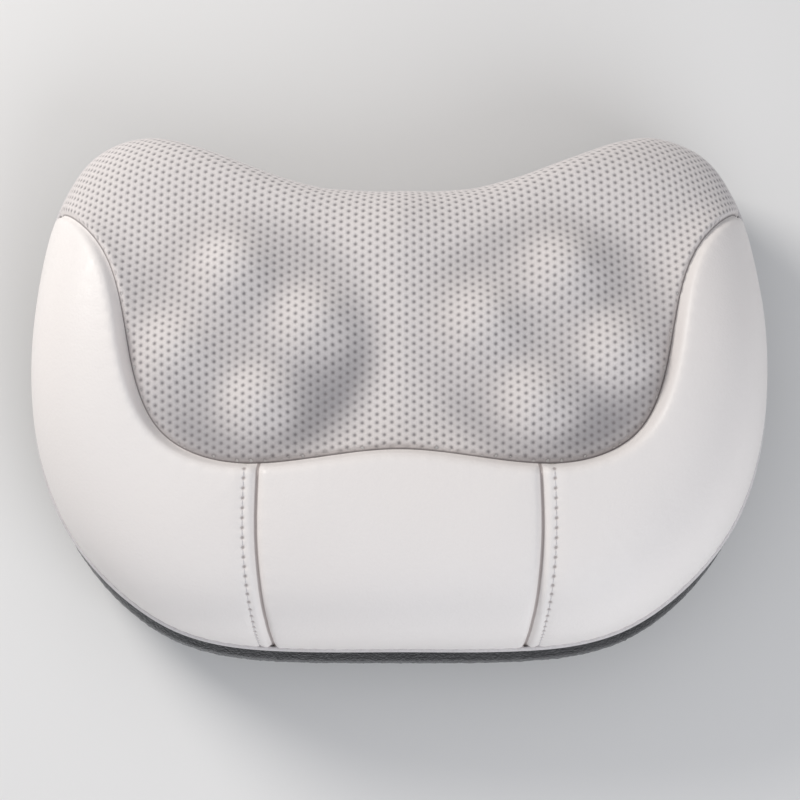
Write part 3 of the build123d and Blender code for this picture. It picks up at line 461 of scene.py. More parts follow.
def plasticMaterial(name, color, rough=0.45, grain=0.00004):
    s = finishNodes(name)
    texture = s.noise(1400.0, 2.0)
    return s.set(color=s.mix(s.noise(30.0, 2.0), color, darker(color, 0.92)), specular=0.45,
                 rough=s.step(s.noise(80.0), 0.2, 0.8, rough - 0.05, rough + 0.06),
                 normal=s.bump(texture, grain, 0.6))


def metalMaterial(name, color, rough=0.3):
    s = finishNodes(name)
    wear = s.noise(300.0, 4.0)
    return s.set(color=s.mix(wear, color, darker(color, 0.85)), metal=1.0,
                 rough=s.step(wear, 0.2, 0.8, rough - 0.06, rough + 0.1), normal=s.bump(wear, 0.00003, 0.5))


def foamMaterial(name, color):
    s = finishNodes(name)
    pores = s.cells(700.0)
    # painted shade: the pores' centres are darker
    return s.set(color=s.mix(s.step(pores, 0.0, 0.5), darker(color, 0.55), color), rough=0.95,
                 specular=0.1, normal=s.bump(pores, 0.0006, 0.8))


def boardMaterial():
    s = finishNodes("circuitBoard")
    tracks = s.cells(160.0, "DISTANCE_TO_EDGE", random=0.6)
    overTrack, bare = (0.05, 0.22, 0.07, 1), (0.02, 0.12, 0.035, 1)
    return s.set(color=s.mix(s.step(tracks, 0.02, 0.06), overTrack, bare), rough=0.35,
                 specular=0.5, normal=s.bump(tracks, 0.00003, 0.5))


def stageMaterial():
    s = finishNodes("paleFloor")
    return s.set(color=s.mix(s.noise(3.0, 2.0), (0.80, 0.79, 0.78, 1), (0.82, 0.81, 0.80, 1)),
                 rough=0.8, specular=0.2)


finishes = {
    "mesh_fabric": meshMaterial(),
    "leather_white": leatherMaterial(),
    "piping_cord": fabricMaterial("pipingCloth", (0.74, 0.715, 0.72, 1), (0.50, 0.47, 0.47, 1), 0.8),
    "band_fabric": fabricMaterial("darkFleece", (0.020, 0.020, 0.023, 1), (0.006, 0.006, 0.007, 1),
                                  0.95, 0.45, 700.0, 0.0007),
    "lining_fabric": fabricMaterial("stretchLining", (0.70, 0.69, 0.68, 1), (0.45, 0.44, 0.43, 1), 0.8),
    "foam": foamMaterial("openFoam", (0.76, 0.74, 0.66, 1)),
    "felt": fabricMaterial("greyFelt", (0.20, 0.20, 0.21, 1), (0.10, 0.10, 0.10, 1),
                           0.95, 0.4, 500.0, 0.0006),
    "coil_nylon": plasticMaterial("blackNylon", (0.012, 0.012, 0.013, 1), 0.35),
    "zip_metal": metalMaterial("blackedMetal", (0.06, 0.06, 0.065, 1), 0.35),
    "housing_plastic": plasticMaterial("housingPlastic", (0.60, 0.60, 0.59, 1), 0.5, 0.00008),
    "gear_plastic": plasticMaterial("gearNylon", (0.74, 0.72, 0.66, 1), 0.4),
    "arm_plastic": plasticMaterial("armPlastic", (0.19, 0.19, 0.20, 1), 0.45),
    "head_plastic": plasticMaterial("headPlastic", (0.53, 0.53, 0.54, 1), 0.35),
    "steel": metalMaterial("groundSteel", (0.56, 0.56, 0.56, 1), 0.25),
    "motor_steel": metalMaterial("platedSteel", (0.50, 0.50, 0.48, 1), 0.35),
    "screw_steel": metalMaterial("screwSteel", (0.40, 0.40, 0.42, 1), 0.3),
    "worm_brass": metalMaterial("cutBrass", (0.72, 0.52, 0.22, 1), 0.28),
    "bush_bronze": metalMaterial("bushBronze", (0.50, 0.33, 0.17, 1), 0.42),
    "rubber_pad": plasticMaterial("blackRubber", (0.018, 0.018, 0.018, 1), 0.75, 0.00012),
    "black_plastic": plasticMaterial("blackPlastic", (0.022, 0.022, 0.024, 1), 0.4),
    "connector_plastic": plasticMaterial("connectorPlastic", (0.70, 0.68, 0.62, 1), 0.4),
    "board_green": boardMaterial(),
    "control_plastic": plasticMaterial("controlPlastic", (0.030, 0.030, 0.033, 1), 0.38, 0.00006),
    "button_plastic": plasticMaterial("buttonPlastic", (0.48, 0.48, 0.49, 1), 0.42),
    "cable_pvc": plasticMaterial("cableSkin", (0.02, 0.02, 0.022, 1), 0.5),
}
slotOf = {part["node"]: part["material_slot"] for part in frame["record"]["subparts"]}
for name, obj in nodes.items():
    obj.data.materials.clear()
    obj.data.materials.append(finishes[slotOf[name]])
print("materials ready")


# where the panels meet, and how deep their seams are
cover = {
    "halfMeshSeam": [(0, -34), (57, -40), (83, -39), (109, -26), (122, 0), (128, 30), (138, 60), (161, 84),
                     (190, 104)],
    "chinSeam": [(63.2, -20), (64, -42), (64.9, -75), (62.7, -103), (58.5, -140)],
    "edgeStep": 1.6,          # spacing of the points along a panel's edge
    "pinch": 2.4,             # how deep a seam pulls the cover in
    "pinchWidth": 1.9,
    "puff": 2.2,              # how far a panel swells between its seams
    "puffWidth": 16,
    "rimPinch": 0.9,          # the same two beside the outer edge, where the piping has to stay in sight
    "rimPuffWidth": 45,
    "tuck": 3.6,              # how far the front is drawn in at the chin edge, over the band's swell
    "tuckFrom": -50,          # from here towards the chin, full after tuckReach
    "tuckReach": 72,
    "tuckByHeight": ([36, 45, 62, 100], [0, 1, 0.85, 0]),
    "tuckByDepth": ([14, 30], [1, 0]),
    "uneven": 0.35,           # height of the soft waves in a stuffed panel
    "pucker": 0.16,           # small puckers along a leather edge
    "puckerPitch": 8.4,
    "puckerReach": 5,
    "leatherStep": 2.0,       # triangle size of the leather
    "edgeRows": (0.5, 1.1, 1.9, 2.9, 4.1),
}
meshSeam = smoothLine(bothSides(cover["halfMeshSeam"]), 0.5)
chinSeam = smoothLine(cover["chinSeam"], 0.5)
flip = np.array([-1, 1])      # mirrors a plan point to the left side


def crossing(line, other):
    # where line first crosses the other: the step along each, and the point
    for i in range(len(line) - 1):
        a, b = line[i], line[i + 1]
        c, d = other[:-1], other[1:]
        r, q = b - a, d - c
        cross = r[0] * q[:, 1] - r[1] * q[:, 0]
        cross = np.where(np.abs(cross) < 1e-12, 1e-12, cross)
        t = ((c[:, 0] - a[0]) * q[:, 1] - (c[:, 1] - a[1]) * q[:, 0]) / cross
        u = ((c[:, 0] - a[0]) * r[1] - (c[:, 1] - a[1]) * r[0]) / cross
        hit = np.where((t >= 0) & (t < 1) & (u >= 0) & (u < 1))[0]
        if len(hit):
            return i, hit[0], a + t[hit[0]] * r
    raise ValueError("the lines don't cross")


def between(line, i, first, j, last):
    # the stretch of a line from the point after i to the point after j, with its own ends
    middle = line[i + 1:j + 1] if j >= i else line[j + 1:i + 1][::-1]
    return np.vstack([[first], middle, [last]])


# the outline runs clockwise from the middle of the neck side, so that no leather panel crosses its ends
rim = np.vstack([outline, outline[:1]])
rightOut, rimRight, rightPoint = crossing(meshSeam[len(meshSeam) // 2:], rim)
rightOut += len(meshSeam) // 2
leftPoint = rightPoint * flip
rimMirror, seamMirror = len(rim) - 2, len(meshSeam) - 2   # index i on the right is this less i on the left
leftOut = seamMirror - rightOut
chinTop, seamAtChin, chinPoint = crossing(chinSeam, meshSeam)
chinLow, rimAtChin, chinEnd = crossing(chinSeam, rim)


def flatRun(line):
    return evenly(toFlat(line), cover["edgeStep"])


meshRun = flatRun(between(meshSeam, leftOut, leftPoint, rightOut, rightPoint))
neckRim = np.vstack([[rightPoint], rim[1:rimRight + 1][::-1]])
neckRim = flatRun(np.vstack([neckRim, (neckRim * flip)[::-1]]))
sideSeam = flatRun(between(meshSeam, seamAtChin, chinPoint, rightOut, rightPoint))
sideRim = flatRun(between(rim, rimRight, rightPoint, rimAtChin, chinEnd))
chinFlat = flatRun(between(chinSeam, chinTop, chinPoint, chinLow, chinEnd))
chinMesh = flatRun(between(meshSeam, seamMirror - seamAtChin, chinPoint * flip, seamAtChin, chinPoint))
chinRim = flatRun(between(rim, rimAtChin, chinEnd, rimMirror - rimAtChin, chinEnd * flip))
flatRim = flatRun(rim)


def loopOf(*runs):
    return np.vstack([run[:-1] for run in runs])


meshLoop = loopOf(meshRun, neckRim)
sideLoop = loopOf(sideSeam, sideRim, chinFlat[::-1])
chinLoop = loopOf(chinMesh, chinFlat, chinRim, (chinFlat * flip)[::-1])
print("patterns cut", len(meshLoop), len(sideLoop), len(chinLoop))


def eased(value):
    # 0 to 1 with a soft start and end
    t = np.clip(value, 0, 1)
    return t * t * (3 - 2 * t)


def waves(points, size, seed):
    # soft unevenness that hand-stuffed panels have
    total = np.zeros(len(points))
    for k in range(6):
        angle, scale = seed * 1.7 + k * 2.39, size * (0.7 + 0.17 * k)
        direction = np.array([cos(angle), sin(angle)])
        total += np.sin(points @ direction * 2 * pi / scale + seed + k * 1.3)
    return total / 6


def tucked(points):
    # the chin edge is drawn in, most at the piping
    away = np.column_stack([points[:, :2] - centre, np.zeros(len(points))])
    angle, distance = polar(points)
    amount = cover["tuck"] * eased((cover["tuckFrom"] - points[:, 1]) / cover["tuckReach"])
    amount *= np.interp(points[:, 2], *cover["tuckByHeight"])
    amount *= np.interp(edgeRadius(angle) - distance, *cover["tuckByDepth"])
    return points - away / np.maximum(distance, 1)[:, None] * amount[:, None]


# the mesh front, drawn over the massage heads
drape = {
    "gridStep": 1.5,
    "sag": 0.013,             # pull per mm, which sets how deep the cloth sinks between the heads
    "clothUp": 3.9,           # lining, cloth and what the softening takes off, over a head
    "foamDown": 3.4,
    "wellSink": 13.0,         # how much further the foam gives way beside a well
    "wellReach": 75,
    "seamSink": 10.0,         # how far the seam with the leather lies below the cushion's own curve
    "seamReach": 45,          # it comes up to nothing over this length before the outer edge
    "seamFadeEnd": 75,        # and towards the neck side
    "seamFadeReach": 60,
    "wellRadius": 47.5,
    "rounds": 2600,
    "softening": 22,          # passes in which the cloth's own stiffness rounds the tops
    "openDepth": -40,         # nothing holds the cloth over an open well
    "seamKeep": 2.0,          # the cloth stays put this close to its edge, and on the steep side
    "sideKeep": 0.06,
    "pitch": 3.9,             # between the holes of the knit
    "dimple": 0.55,
    "dimpleWidth": 1.0,
    "liningGap": 1.5,
    "paleReach": 9,           # painted shade: the open knit is painted darker this far from a head, over the empty well
    "darkSide": (0.45, -0.9),     # and most on this side of each well, the lower right, away from the key light
    "darkReach": 75,
    "darkRange": (0.12, 1),
    "darkMean": 0.35,
    "darkSlope": 0.75,
    "darkRim": 14,            # it fades out over the rim of the well
    "darkRimStart": 1.3,
    "darkSoftening": 6,
}
headNodes = sorted(name for name in nodes if name.startswith("massage_head_"))
heads = []
for name in headNodes:
    low, high = (np.array(v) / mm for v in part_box(name))
    heads.append((*(low + high)[:2] / 2, high[2], (high - low)[0] / 2))
rotorCentres = [np.mean([h[:2] for h, n in zip(heads, headNodes) if side in n], axis=0)
                for side in ("left", "right")]
step = drape["gridStep"]
gridX, gridY = np.arange(-180, 180 + step, step), np.arange(-60, 130 + step, step)
plan = np.stack(np.meshgrid(gridX, gridY, indexing="ij"), -1).reshape(-1, 2)
shape = (len(gridX), len(gridY))
meshPlan = fromFlat(meshLoop)[:, :2]
meshEdge = np.vstack([meshPlan, meshPlan[:1]])
edgeGap = nearLine(plan, meshEdge)[0]
loose = insideLoop(plan, meshPlan) & (edgeGap > drape["seamKeep"])
loose &= shareAt(*polar(plan)) > drape["sideKeep"]
base = heightAt(plan)
wellGap = np.min([np.linalg.norm(plan - c, axis=1) for c in rotorCentres], axis=0) - drape["wellRadius"]
give = eased(1 - np.maximum(wellGap, 0) / drape["wellReach"])
# what the cloth can rest on, measured from the cushion's own surface: the foam, then the heads
support = np.where(wellGap < 0, drape["openDepth"], -drape["foamDown"] - drape["wellSink"] * give)
for x, y, top, radius in heads:
    d = np.linalg.norm(plan - [x, y], axis=1)
    ball = top - radius + np.sqrt(np.maximum((radius + drape["clothUp"]) ** 2 - d ** 2, 0))
    support = np.maximum(support, np.where(d < radius + 1, ball - base, drape["openDepth"]))
support, loose = support.reshape(shape), loose.reshape(shape)


def seamSink(points):
    # the mesh is sewn in lower than the leather beside it, except where the seam runs out to the edge
    seamEnds = np.minimum(*[np.linalg.norm(points - end, axis=1) for end in (leftPoint, rightPoint)])
    toNeck = np.clip((drape["seamFadeEnd"] - points[:, 1]) / drape["seamFadeReach"], 0, 1)
    return drape["seamSink"] * eased(seamEnds / drape["seamReach"]) * toNeck


def neighbourMean(values):
    return sum(np.roll(values, shift, axis) for axis in (0, 1) for shift in (1, -1)) / 4


pull = drape["sag"] * step * step
held = -seamSink(plan).reshape(shape)
drop = held.copy()
for _ in range(drape["rounds"]):
    drop = np.where(loose, np.maximum(neighbourMean(drop) - pull, support), held)
for _ in range(drape["softening"]):
    drop = np.where(loose, (drop + neighbourMean(drop)) / 2, held)
print("cloth drawn over the heads, lowest", round(float(drop.min()), 1))
# painted shade over the empty wells: darker away from the heads, most on each well's side away from the key
# light
nearHead = np.min([np.linalg.norm(plan - [x, y], axis=1) - r for x, y, top, r in heads], axis=0)
below = np.max([(plan - c) @ drape["darkSide"] / drape["wellRadius"]
                * (np.linalg.norm(plan - c, axis=1) < drape["darkReach"]) for c in rotorCentres], axis=0)
paintedWellShade = 1 - np.exp(-np.maximum(nearHead, 0) / drape["paleReach"])
paintedWellShade *= np.clip(drape["darkRimStart"] - wellGap / drape["darkRim"], 0, 1)
paintedWellShade *= np.clip(drape["darkMean"] + drape["darkSlope"] * below, *drape["darkRange"])
paintedWellShade = paintedWellShade.reshape(shape)
for _ in range(drape["darkSoftening"]):
    paintedWellShade = neighbourMean(paintedWellShade)


def gridAt(values, points):
    u = np.clip((points[:, 0] - gridX[0]) / step, 0, shape[0] - 1.001)
    v = np.clip((points[:, 1] - gridY[0]) / step, 0, shape[1] - 1.001)
    i, j = u.astype(int), v.astype(int)
    a, b = u - i, v - j
    return ((values[i, j] * (1 - a) + values[i + 1, j] * a) * (1 - b)
            + (values[i, j + 1] * (1 - a) + values[i + 1, j + 1] * a) * b)


def holeDistance(points):
    # to the nearest hole of a knit whose holes stand in staggered columns
    across, along = drape["pitch"] * 3 ** 0.5 / 2, drape["pitch"]
    best = np.full(len(points), 1e9)
    for shift in (0, 1):
        column = (np.round((points[:, 0] / across - shift) / 2) * 2 + shift)
        row = np.round(points[:, 1] / along - shift / 2) + shift / 2
        best = np.minimum(best, np.hypot(points[:, 0] - column * across, points[:, 1] - row * along))
    return best


def pinched(seamGap, rimGap):
    inSeam = cover["pinch"] * np.exp(-(seamGap / cover["pinchWidth"]) ** 2) * np.clip(rimGap / 5 + 0.3, 0, 1)
    return -inSeam - cover["rimPinch"] * np.exp(-(rimGap / cover["pinchWidth"]) ** 2)


def meshPanel(spacing, lower, knit):
    flat, faces = fillPattern(meshLoop, spacing, (0.8, 1.7) if knit else (2.0,))
    gap = nearLine(flat, np.vstack([meshLoop, meshLoop[:1]]))[0]
    laid = fromFlat(flat)
    hole = np.exp(-(holeDistance(flat) / drape["dimpleWidth"]) ** 2) * np.clip((gap - 0.3) / 0.8, 0, 1)
    offset = pinched(nearLine(flat, meshRun)[0], nearLine(flat, flatRim)[0])
    offset += cover["uneven"] * waves(flat, 38, 2) * np.clip(gap / 10, 0, 1)
    if knit:
        offset -= drape["dimple"] * hole
    points = onCushion(flat, offset - lower * np.clip(gap / 8, 0.25, 1))
    points[:, 2] += gridAt(drop, laid)
    return flat, faces, laid, points, gap, hole


flat, faces, laid, points, gap, hole = meshPanel(drape["pitch"] / 4, 0, True)
meshFront = makePiece("meshFront", points, faces, "mesh_fabric", ["mesh_panel"], flat=flat,
                      values=(("seam", gap), ("hole", hole), ("paintedWellShade", gridAt(paintedWellShade, laid[:, :2]))))
flat, faces, laid, points, gap, hole = meshPanel(2.4, drape["liningGap"], False)
lining = makePiece("liningCloth", points, faces, "lining_fabric", ["lining_cloth"])


# the leather panels and the topstitch beside the chin
stitching = {
    "foldWidth": 2.6,         # the leather's fold down to the mesh
    "inset": 5.9,             # topstitch row beside the chin seam
    "step": 0.25,
    "pitch": 4.5,
    "start": 4.0,
    "hole": 0.95,
    "sink": 0.8,
    "valley": 0.45,           # dent along the row
    "valleyWidth": 1.6,
    "threadRadius": 0.32,
    "threadLift": 0.1,
    "threadDown": 0.12,
}


def besideChin(shift):
    tangent = np.gradient(chinFlat, axis=0)
    normal = np.stack([tangent[:, 1], -tangent[:, 0]], 1) / np.linalg.norm(tangent, axis=1)[:, None]
    if normal[0, 0] < 0:
        normal = -normal
    # the flat pattern is rolled out wider near the edge
    spread = polar(chinFlat)[1] / polar(fromFlat(chinFlat))[1]
    return chinFlat + normal * shift * spread[:, None]


stitchLine = evenly(besideChin(stitching["inset"]), stitching["step"])
firstHole, holeEvery = (int(stitching[key] / stitching["step"]) for key in ("start", "pitch"))
holes = stitchLine[firstHole::holeEvery]
turn = np.linspace(0, 2 * pi, 6, endpoint=False)
ring = np.stack([np.cos(turn), np.sin(turn)], 1)
# extra points, so that each needle hole is a real dent
holeDetail = np.vstack([holes] + [h + ring * stitching["hole"] * k for h in holes for k in (1.0, 1.9)])


def leatherPoints(flat, offset):
    # laid on the cushion, folded down at the mesh and drawn in at the chin
    points = onCushion(flat, offset)
    fold = np.exp(-(nearLine(flat, meshRun)[0] / stitching["foldWidth"]) ** 2)
    points[:, 2] -= seamSink(fromFlat(flat)[:, :2]) * fold
    return tucked(points)


def leatherOffset(flat, loop, stitched, seed):
    gap, run = nearLine(flat, np.vstack([loop, loop[:1]]))
    meshGap, rimGap = nearLine(flat, meshRun)[0], nearLine(flat, flatRim)[0]
    chinGap = np.minimum(nearLine(flat, chinFlat)[0], nearLine(flat, chinFlat * flip)[0])
    seamGap = np.minimum(meshGap, chinGap)
    offset = cover["puff"] * (1 - np.exp(-seamGap / cover["puffWidth"]))
    offset *= 1 - np.exp(-rimGap / cover["rimPuffWidth"])
    offset += pinched(seamGap, rimGap)
    offset += cover["uneven"] * waves(flat, 55, seed) * np.clip(gap / 10, 0, 1)
    pucker = np.sin(run * 2 * pi / cover["puckerPitch"] + 1.5 * np.sin(run / 23))    # unevenly spaced
    offset += cover["pucker"] * pucker * np.exp(-gap / cover["puckerReach"]) * np.clip(gap / 2, 0, 1)
    stitch = np.zeros(len(flat))
    if stitched is not None:
        fromRow = nearLine(flat, stitched)[0]
        ownHoles = holes * (np.sign(stitched[0, 0]), 1)
        fromHole = np.min([np.linalg.norm(flat - h, axis=1) for h in ownHoles], axis=0)
        stitch = np.exp(-(fromHole / stitching["hole"]) ** 2)
        offset -= stitching["valley"] * np.exp(-(fromRow / stitching["valleyWidth"]) ** 2)
        offset -= stitching["sink"] * stitch
    return offset, chinGap, stitch


threads = []
for side, sign in (("right", 1), ("left", -1)):
    mirror = np.array([sign, 1])
    loop, row = sideLoop * mirror, stitchLine * mirror
    flat, faces = fillPattern(loop, cover["leatherStep"], cover["edgeRows"], extra=(holeDetail * mirror,))
    offset, gap, stitch = leatherOffset(flat, loop, row, 3 + sign)
    piece = makePiece("leather" + side.capitalize(), leatherPoints(flat, offset), faces, "leather_white",
                      ["leather_panel_" + side], flat=flat, values=(("seam", gap), ("stitch", stitch)))
    fromFlat(flat)
    for a, b in zip(holes[:-1], holes[1:]):
        line = (a + (b - a) * np.linspace(0.16, 0.84, 7)[:, None]) * mirror
        lift = stitching["threadLift"] * np.sin(np.linspace(0, pi, 7)) - stitching["threadDown"]
        offset = leatherOffset(line, loop, row, 3 + sign)[0]
        threads.append(tube(leatherPoints(line, offset + lift), stitching["threadRadius"], 6))
flat, faces = fillPattern(chinLoop, cover["leatherStep"], cover["edgeRows"])
offset, gap, stitch = leatherOffset(flat, chinLoop, None, 7)
piece = makePiece("leatherCentre", leatherPoints(flat, offset), faces, "leather_white",
                  ["leather_panel_centre"], flat=flat, values=(("seam", gap), ("stitch", stitch)))
fromFlat(flat)
threadPiece = makePiece("topstitch", *joined(threads), "piping_cord")
print("leather panels sewn")


# the cord-filled piping round the widest level
cord = {"radius": 1.25, "inset": 1.2, "step": 1.5, "stitchPitch": 3.2, "stitchUp": 1.7, "stitchIn": 0.9,
        "stitchRadius": 0.28}


def inwardNormals(line):
    tangent = np.roll(line, -1, axis=0) - np.roll(line, 1, axis=0)
    normal = np.stack([tangent[:, 1], -tangent[:, 0]], 1) / np.linalg.norm(tangent, axis=1)[:, None]
    return line, normal if insideLoop(line[:1] + normal[:1], outline)[0] else -normal


def insetOutline(amount, spacing):
    line, normal = inwardNormals(evenly(rim, spacing)[:-1])
    return line + normal * amount


line = insetOutline(cord["inset"], cord["step"])
line = tucked(np.column_stack([line, np.full(len(line), cushion["pipingZ"])]))
pipingTube = tube(line, cord["radius"], 10, closed=True)
pipingPiece = makePiece("edgePiping", *pipingTube, "piping_cord", ["piping"])
line = insetOutline(cord["inset"] + cord["stitchIn"], cord["stitchPitch"] / 4)
line = tucked(np.column_stack([line, np.full(len(line), cushion["pipingZ"] + cord["stitchUp"])]))
cordStitches = [tube(line[i:i + 4], cord["stitchRadius"], 5) for i in range(0, len(line) - 4, 4)]
cordStitchPiece = makePiece("pipingStitch", *joined(cordStitches), "band_fabric")


# the dark side band, the back and its zip
band = {
    "top": 45.2, "low": 9.0, "step": 1.5, "rows": 26,
    "swell": 1.5, "fuzz": 0.12,
    "inside": 0.3,            # under the cushion's own surface
    "topTurn": 0.9,           # its edges turn in, under the piping and into the back seam
    "lowTurn": 1.2,
    "plateSink": 2.4,         # the control plate clamps the fabric in
    "plateSinkWidth": 2.5,
    "plateOpening": -2.0,     # and the fabric is cut away behind it from here
}


def levelLine(line, z):
    # the outline moved towards the crown as far as it is at this height on the back half
    angle, edge = polar(line)
    radius = edge + (crownRadius(angle) - edge) * np.interp(z, backZ[::-1], backShare[::-1])
    return centre + (line - centre) / edge[:, None] * radius[:, None]


line, normal = inwardNormals(evenly(rim, band["step"])[:-1])
bandRows = []
fuzz = np.random.default_rng(5)
for z in np.linspace(band["top"], band["low"], band["rows"]):
    t = (band["top"] - z) / (band["top"] - band["low"])
    first, last = t < 0.02, t > 0.98
    out = band["swell"] * sin(pi * t) - band["topTurn"] * first - band["lowTurn"] * last
    out = out + band["fuzz"] * fuzz.standard_normal(len(line)) * (not first and not last)
    row = levelLine(line, z) - normal * np.reshape(out - band["inside"], (-1, 1))
    bandRows.append(np.column_stack([row, np.full(len(line), z)]))
count = len(line)
points = tucked(np.vstack(bandRows))
plateLow, plateHigh = (np.array(corner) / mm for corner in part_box("control_plate"))
plateMiddle, plateHalf = (plateLow + plateHigh) / 2, (plateHigh - plateLow) / 2
beside = np.maximum(np.abs(points[:, 1] - plateMiddle[1]) - plateHalf[1] + plateHalf[2], 0)
plateGap = np.hypot(beside, points[:, 2] - plateMiddle[2]) - plateHalf[2]
plateGap[points[:, 0] < 0] = 100      # the plate is on the right side only
points[:, 0] -= band["plateSink"] * np.exp(-(np.maximum(plateGap, 0) / band["plateSinkWidth"]) ** 2)
faces = [(r * count + i, (r + 1) * count + i, (r + 1) * count + (i + 1) % count, r * count + (i + 1) % count)
         for r in range(band["rows"] - 1) for i in range(count)]
faces = [face for face in faces if plateGap[list(face)].max() > band["plateOpening"]]
sideBand = makePiece("sideBand", points, faces, "band_fabric", ["side_band"])

zipper = {
    "y": -94.5, "half": 70.0, "slot": 5.5, "lip": 1.0,
    "tapeTop": 5.6, "tapeIn": 0.75, "tapeHalf": 11.0, "tapeColumns": 90, "tapeRows": 8,
    "coilZ": 4.1, "coilRadius": 0.75, "coilWire": 0.28, "coilPitch": 1.25, "coilOut": 0.85,
}
back = {"rimStep": 2.5, "step": 4.0, "edgeRows": (1.2, 2.6), "edgeLift": 1.2, "uneven": 0.15}
backRim = levelLine(evenly(rim, back["rimStep"])[:-1], band["low"])
ends = np.linspace(-pi / 2, pi / 2, 9)
straight = zipper["half"] - zipper["slot"]
slotEnd = np.stack([straight + zipper["slot"] * np.cos(ends), zipper["y"] + zipper["slot"] * np.sin(ends)], 1)
top = np.column_stack([np.linspace(straight, -straight, 60)[1:-1], np.full(58, zipper["y"] + zipper["slot"])])
slotLoop = np.vstack([slotEnd, top, (slotEnd * flip)[::-1], (top - [0, 2 * zipper["slot"]])[::-1]])
flat, faces = fillPattern(backRim, back["step"], back["edgeRows"], hole=slotLoop)
gap, slotGap = nearLine(flat, np.vstack([backRim, backRim[:1]]))[0], nearLine(flat, slotLoop)[0]
height = np.interp(shareAt(*polar(flat)), backShare, backZ)
lift = back["edgeLift"] * np.exp(-(gap / 2) ** 2) + zipper["lip"] * np.exp(-(slotGap / 1.5) ** 2)
lift += back["uneven"] * (1 + waves(flat, 70, 4))
laid = np.column_stack([flat, height])
points = np.column_stack([flat, height + lift])
backCover = makePiece("backCover", points, faces[:, ::-1], "band_fabric", ["back_panel"], flat=flat)

tapes = []
columns, rows = zipper["tapeColumns"], zipper["tapeRows"]
for sign in (-1, 1):
    x = np.linspace(-zipper["half"] - 2, zipper["half"] + 2, columns)
    y = zipper["y"] + sign * np.linspace(zipper["tapeIn"], zipper["tapeHalf"], rows)
    gx, gy = np.meshgrid(x, y, indexing="ij")
    gz = np.full(gx.shape, zipper["tapeTop"]) + 0.05 * np.sin(gx * 2)
    grid = np.column_stack([gx.ravel(), gy.ravel(), gz.ravel()])
    corners = [i * rows + j for i in range(columns - 1) for j in range(rows - 1)]
    cells = [(k, k + 1, k + rows + 1, k + rows) for k in corners]
    tapes.append((grid, [c if sign < 0 else c[::-1] for c in cells]))
tapePiece = makePiece("zipTapes", *joined(tapes), "band_fabric", ["zip_tapes"])
coils = []
turns = int(2 * zipper["half"] / zipper["coilPitch"])
for sign in (-1, 1):
    t = np.arange(turns * 8) / 8
    x = -zipper["half"] + t * zipper["coilPitch"] + (0.5 * zipper["coilPitch"] if sign > 0 else 0)
    y = zipper["y"] + sign * zipper["coilOut"] + zipper["coilRadius"] * 1.3 * np.cos(2 * pi * t)
    z = zipper["coilZ"] + zipper["coilRadius"] * np.sin(2 * pi * t)
    coils.append(tube(np.column_stack([x, y, z]), zipper["coilWire"], 5))
coilPiece = makePiece("zipCoil", *joined(coils), "coil_nylon", ["zip_coil"])
print("side band, back and zip made")


# foam and felt inside, as rough-surfaced copies of the solids
foam = {"voxel": 2.5, "rough": 0.05, "feltVoxel": 0.8, "feltRough": 0.03, "splitZ": 78, "fadeHeight": 20}


def softCopy(name, node, slotName, voxel, rough):
    piece = nodes[node].copy()
    piece.data = nodes[node].data.copy()
    piece.name = name
    for key in list(piece.keys()):
        if key.startswith("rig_"):
            del piece[key]
    piece.parent = None
    bpy.context.scene.collection.objects.link(piece)
    remesh = piece.modifiers.new("even", "REMESH")
    remesh.mode, remesh.voxel_size = "VOXEL", voxel * mm
    smooth = piece.modifiers.new("soft", "SMOOTH")
    smooth.factor, smooth.iterations = 0.5, 2
    bpy.context.view_layer.objects.active = piece
    for modifier in ("even", "soft"):
        with bpy.context.temp_override(object=piece, active_object=piece):
            bpy.ops.object.modifier_apply(modifier=modifier)
    spots = np.zeros(len(piece.data.vertices) * 3)
    piece.data.vertices.foreach_get("co", spots)
    spots = spots.reshape(-1, 3) / mm
    spots += np.random.default_rng(2).standard_normal(spots.shape) * rough
    if name == "foamTopper":      # the foam gives way beside the wells, under the drawn cloth
        sunk = np.minimum(gridAt(drop, spots) + 1.0, 0)
        spots[:, 2] += sunk * np.clip((spots[:, 2] - foam["splitZ"]) / foam["fadeHeight"], 0, 1)
    if name.startswith("foam"):
        spots = tucked(spots)
    piece.data.vertices.foreach_set("co", (spots * mm).ravel())
    piece.data.polygons.foreach_set("use_smooth", np.ones(len(piece.data.polygons), bool))
    piece.data.materials.clear()
    piece.data.materials.append(finishes[slotName])
    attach(piece, "root")
    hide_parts(node)
    return piece


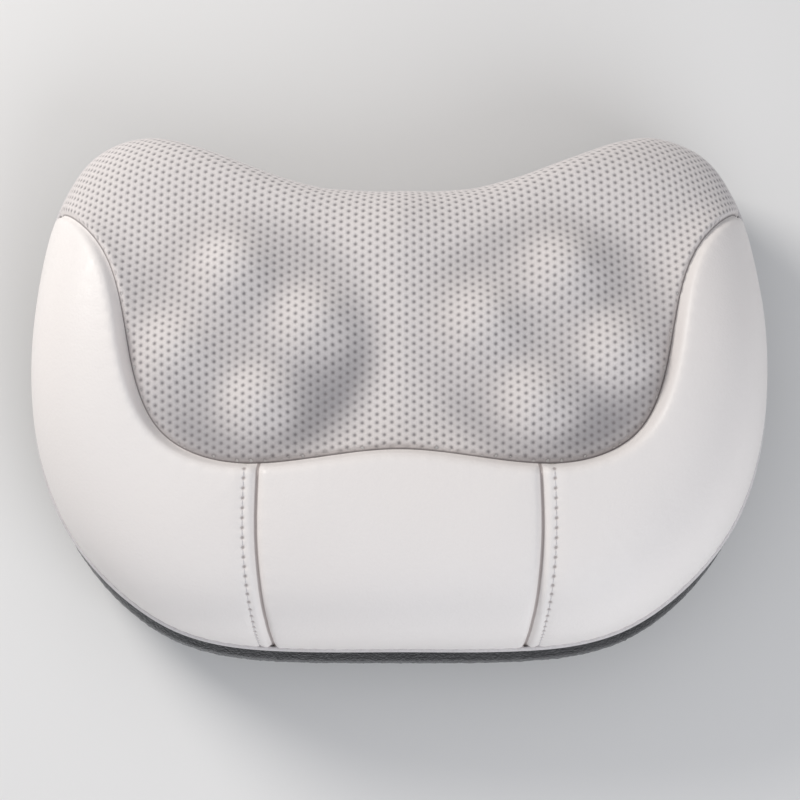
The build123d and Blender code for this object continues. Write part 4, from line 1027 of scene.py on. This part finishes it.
softCopy("foamBase", "foam_base", "foam", foam["voxel"], foam["rough"])
softCopy("foamTopper", "foam_topper", "foam", foam["voxel"], foam["rough"])
softCopy("backPad", "back_pad", "felt", foam["feltVoxel"], foam["feltRough"])
print("foam shaped")


# floor, light and camera, in metres
studio = {
    "floorSize": 6.0, "floorZ": -0.0002,
    "target": (0.0003, -0.0016, 0.046), "distance": 1.35, "elevation": 80, "lens": 127.8,
    "keyAt": (-0.86, 0.74, 0.82), "keySize": 0.6, "keyPower": 12, "keyColor": (1.0, 0.975, 0.94),
    "fillAt": (0.75, -1.15, 1.0), "fillSize": 1.6, "fillPower": 14, "fillColor": (0.93, 0.96, 1.0),
    "skyColor": (0.93, 0.95, 1.0, 1), "skyPower": 0.39,
}
bpy.ops.mesh.primitive_plane_add(size=studio["floorSize"], location=(0, 0, studio["floorZ"]))
floor = bpy.context.object
floor.name = "floor"
floor.data.materials.append(stageMaterial())


def lamp(name):
    light = bpy.data.lights.new(name, "AREA")
    light.shape, light.size = "DISK", studio[name + "Size"]
    light.energy, light.color = studio[name + "Power"], studio[name + "Color"]
    holder = bpy.data.objects.new(name, light)
    place = Vector(studio[name + "At"])
    holder.location = place
    holder.rotation_euler = (Vector(studio["target"]) - place).to_track_quat("-Z", "Y").to_euler()
    bpy.context.scene.collection.objects.link(holder)


lamp("key")
lamp("fill")
sky = bpy.data.worlds.new("paleSky")
sky.use_nodes = True
sky.node_tree.nodes["Background"].inputs["Color"].default_value = studio["skyColor"]
sky.node_tree.nodes["Background"].inputs["Strength"].default_value = studio["skyPower"]
bpy.context.scene.world = sky

camera = bpy.data.objects.new("camera", bpy.data.cameras.new("camera"))
tilt = radians(studio["elevation"])
aim = Vector(studio["target"])
camera.location = aim + studio["distance"] * Vector((0, -cos(tilt), sin(tilt)))
camera.rotation_euler = (aim - camera.location).to_track_quat("-Z", "Y").to_euler()
camera.data.lens, camera.data.sensor_width = studio["lens"], 36
camera.data.clip_end = 20
bpy.context.scene.collection.objects.link(camera)
bpy.context.scene.camera = camera
bpy.context.scene.view_settings.view_transform = "Standard"
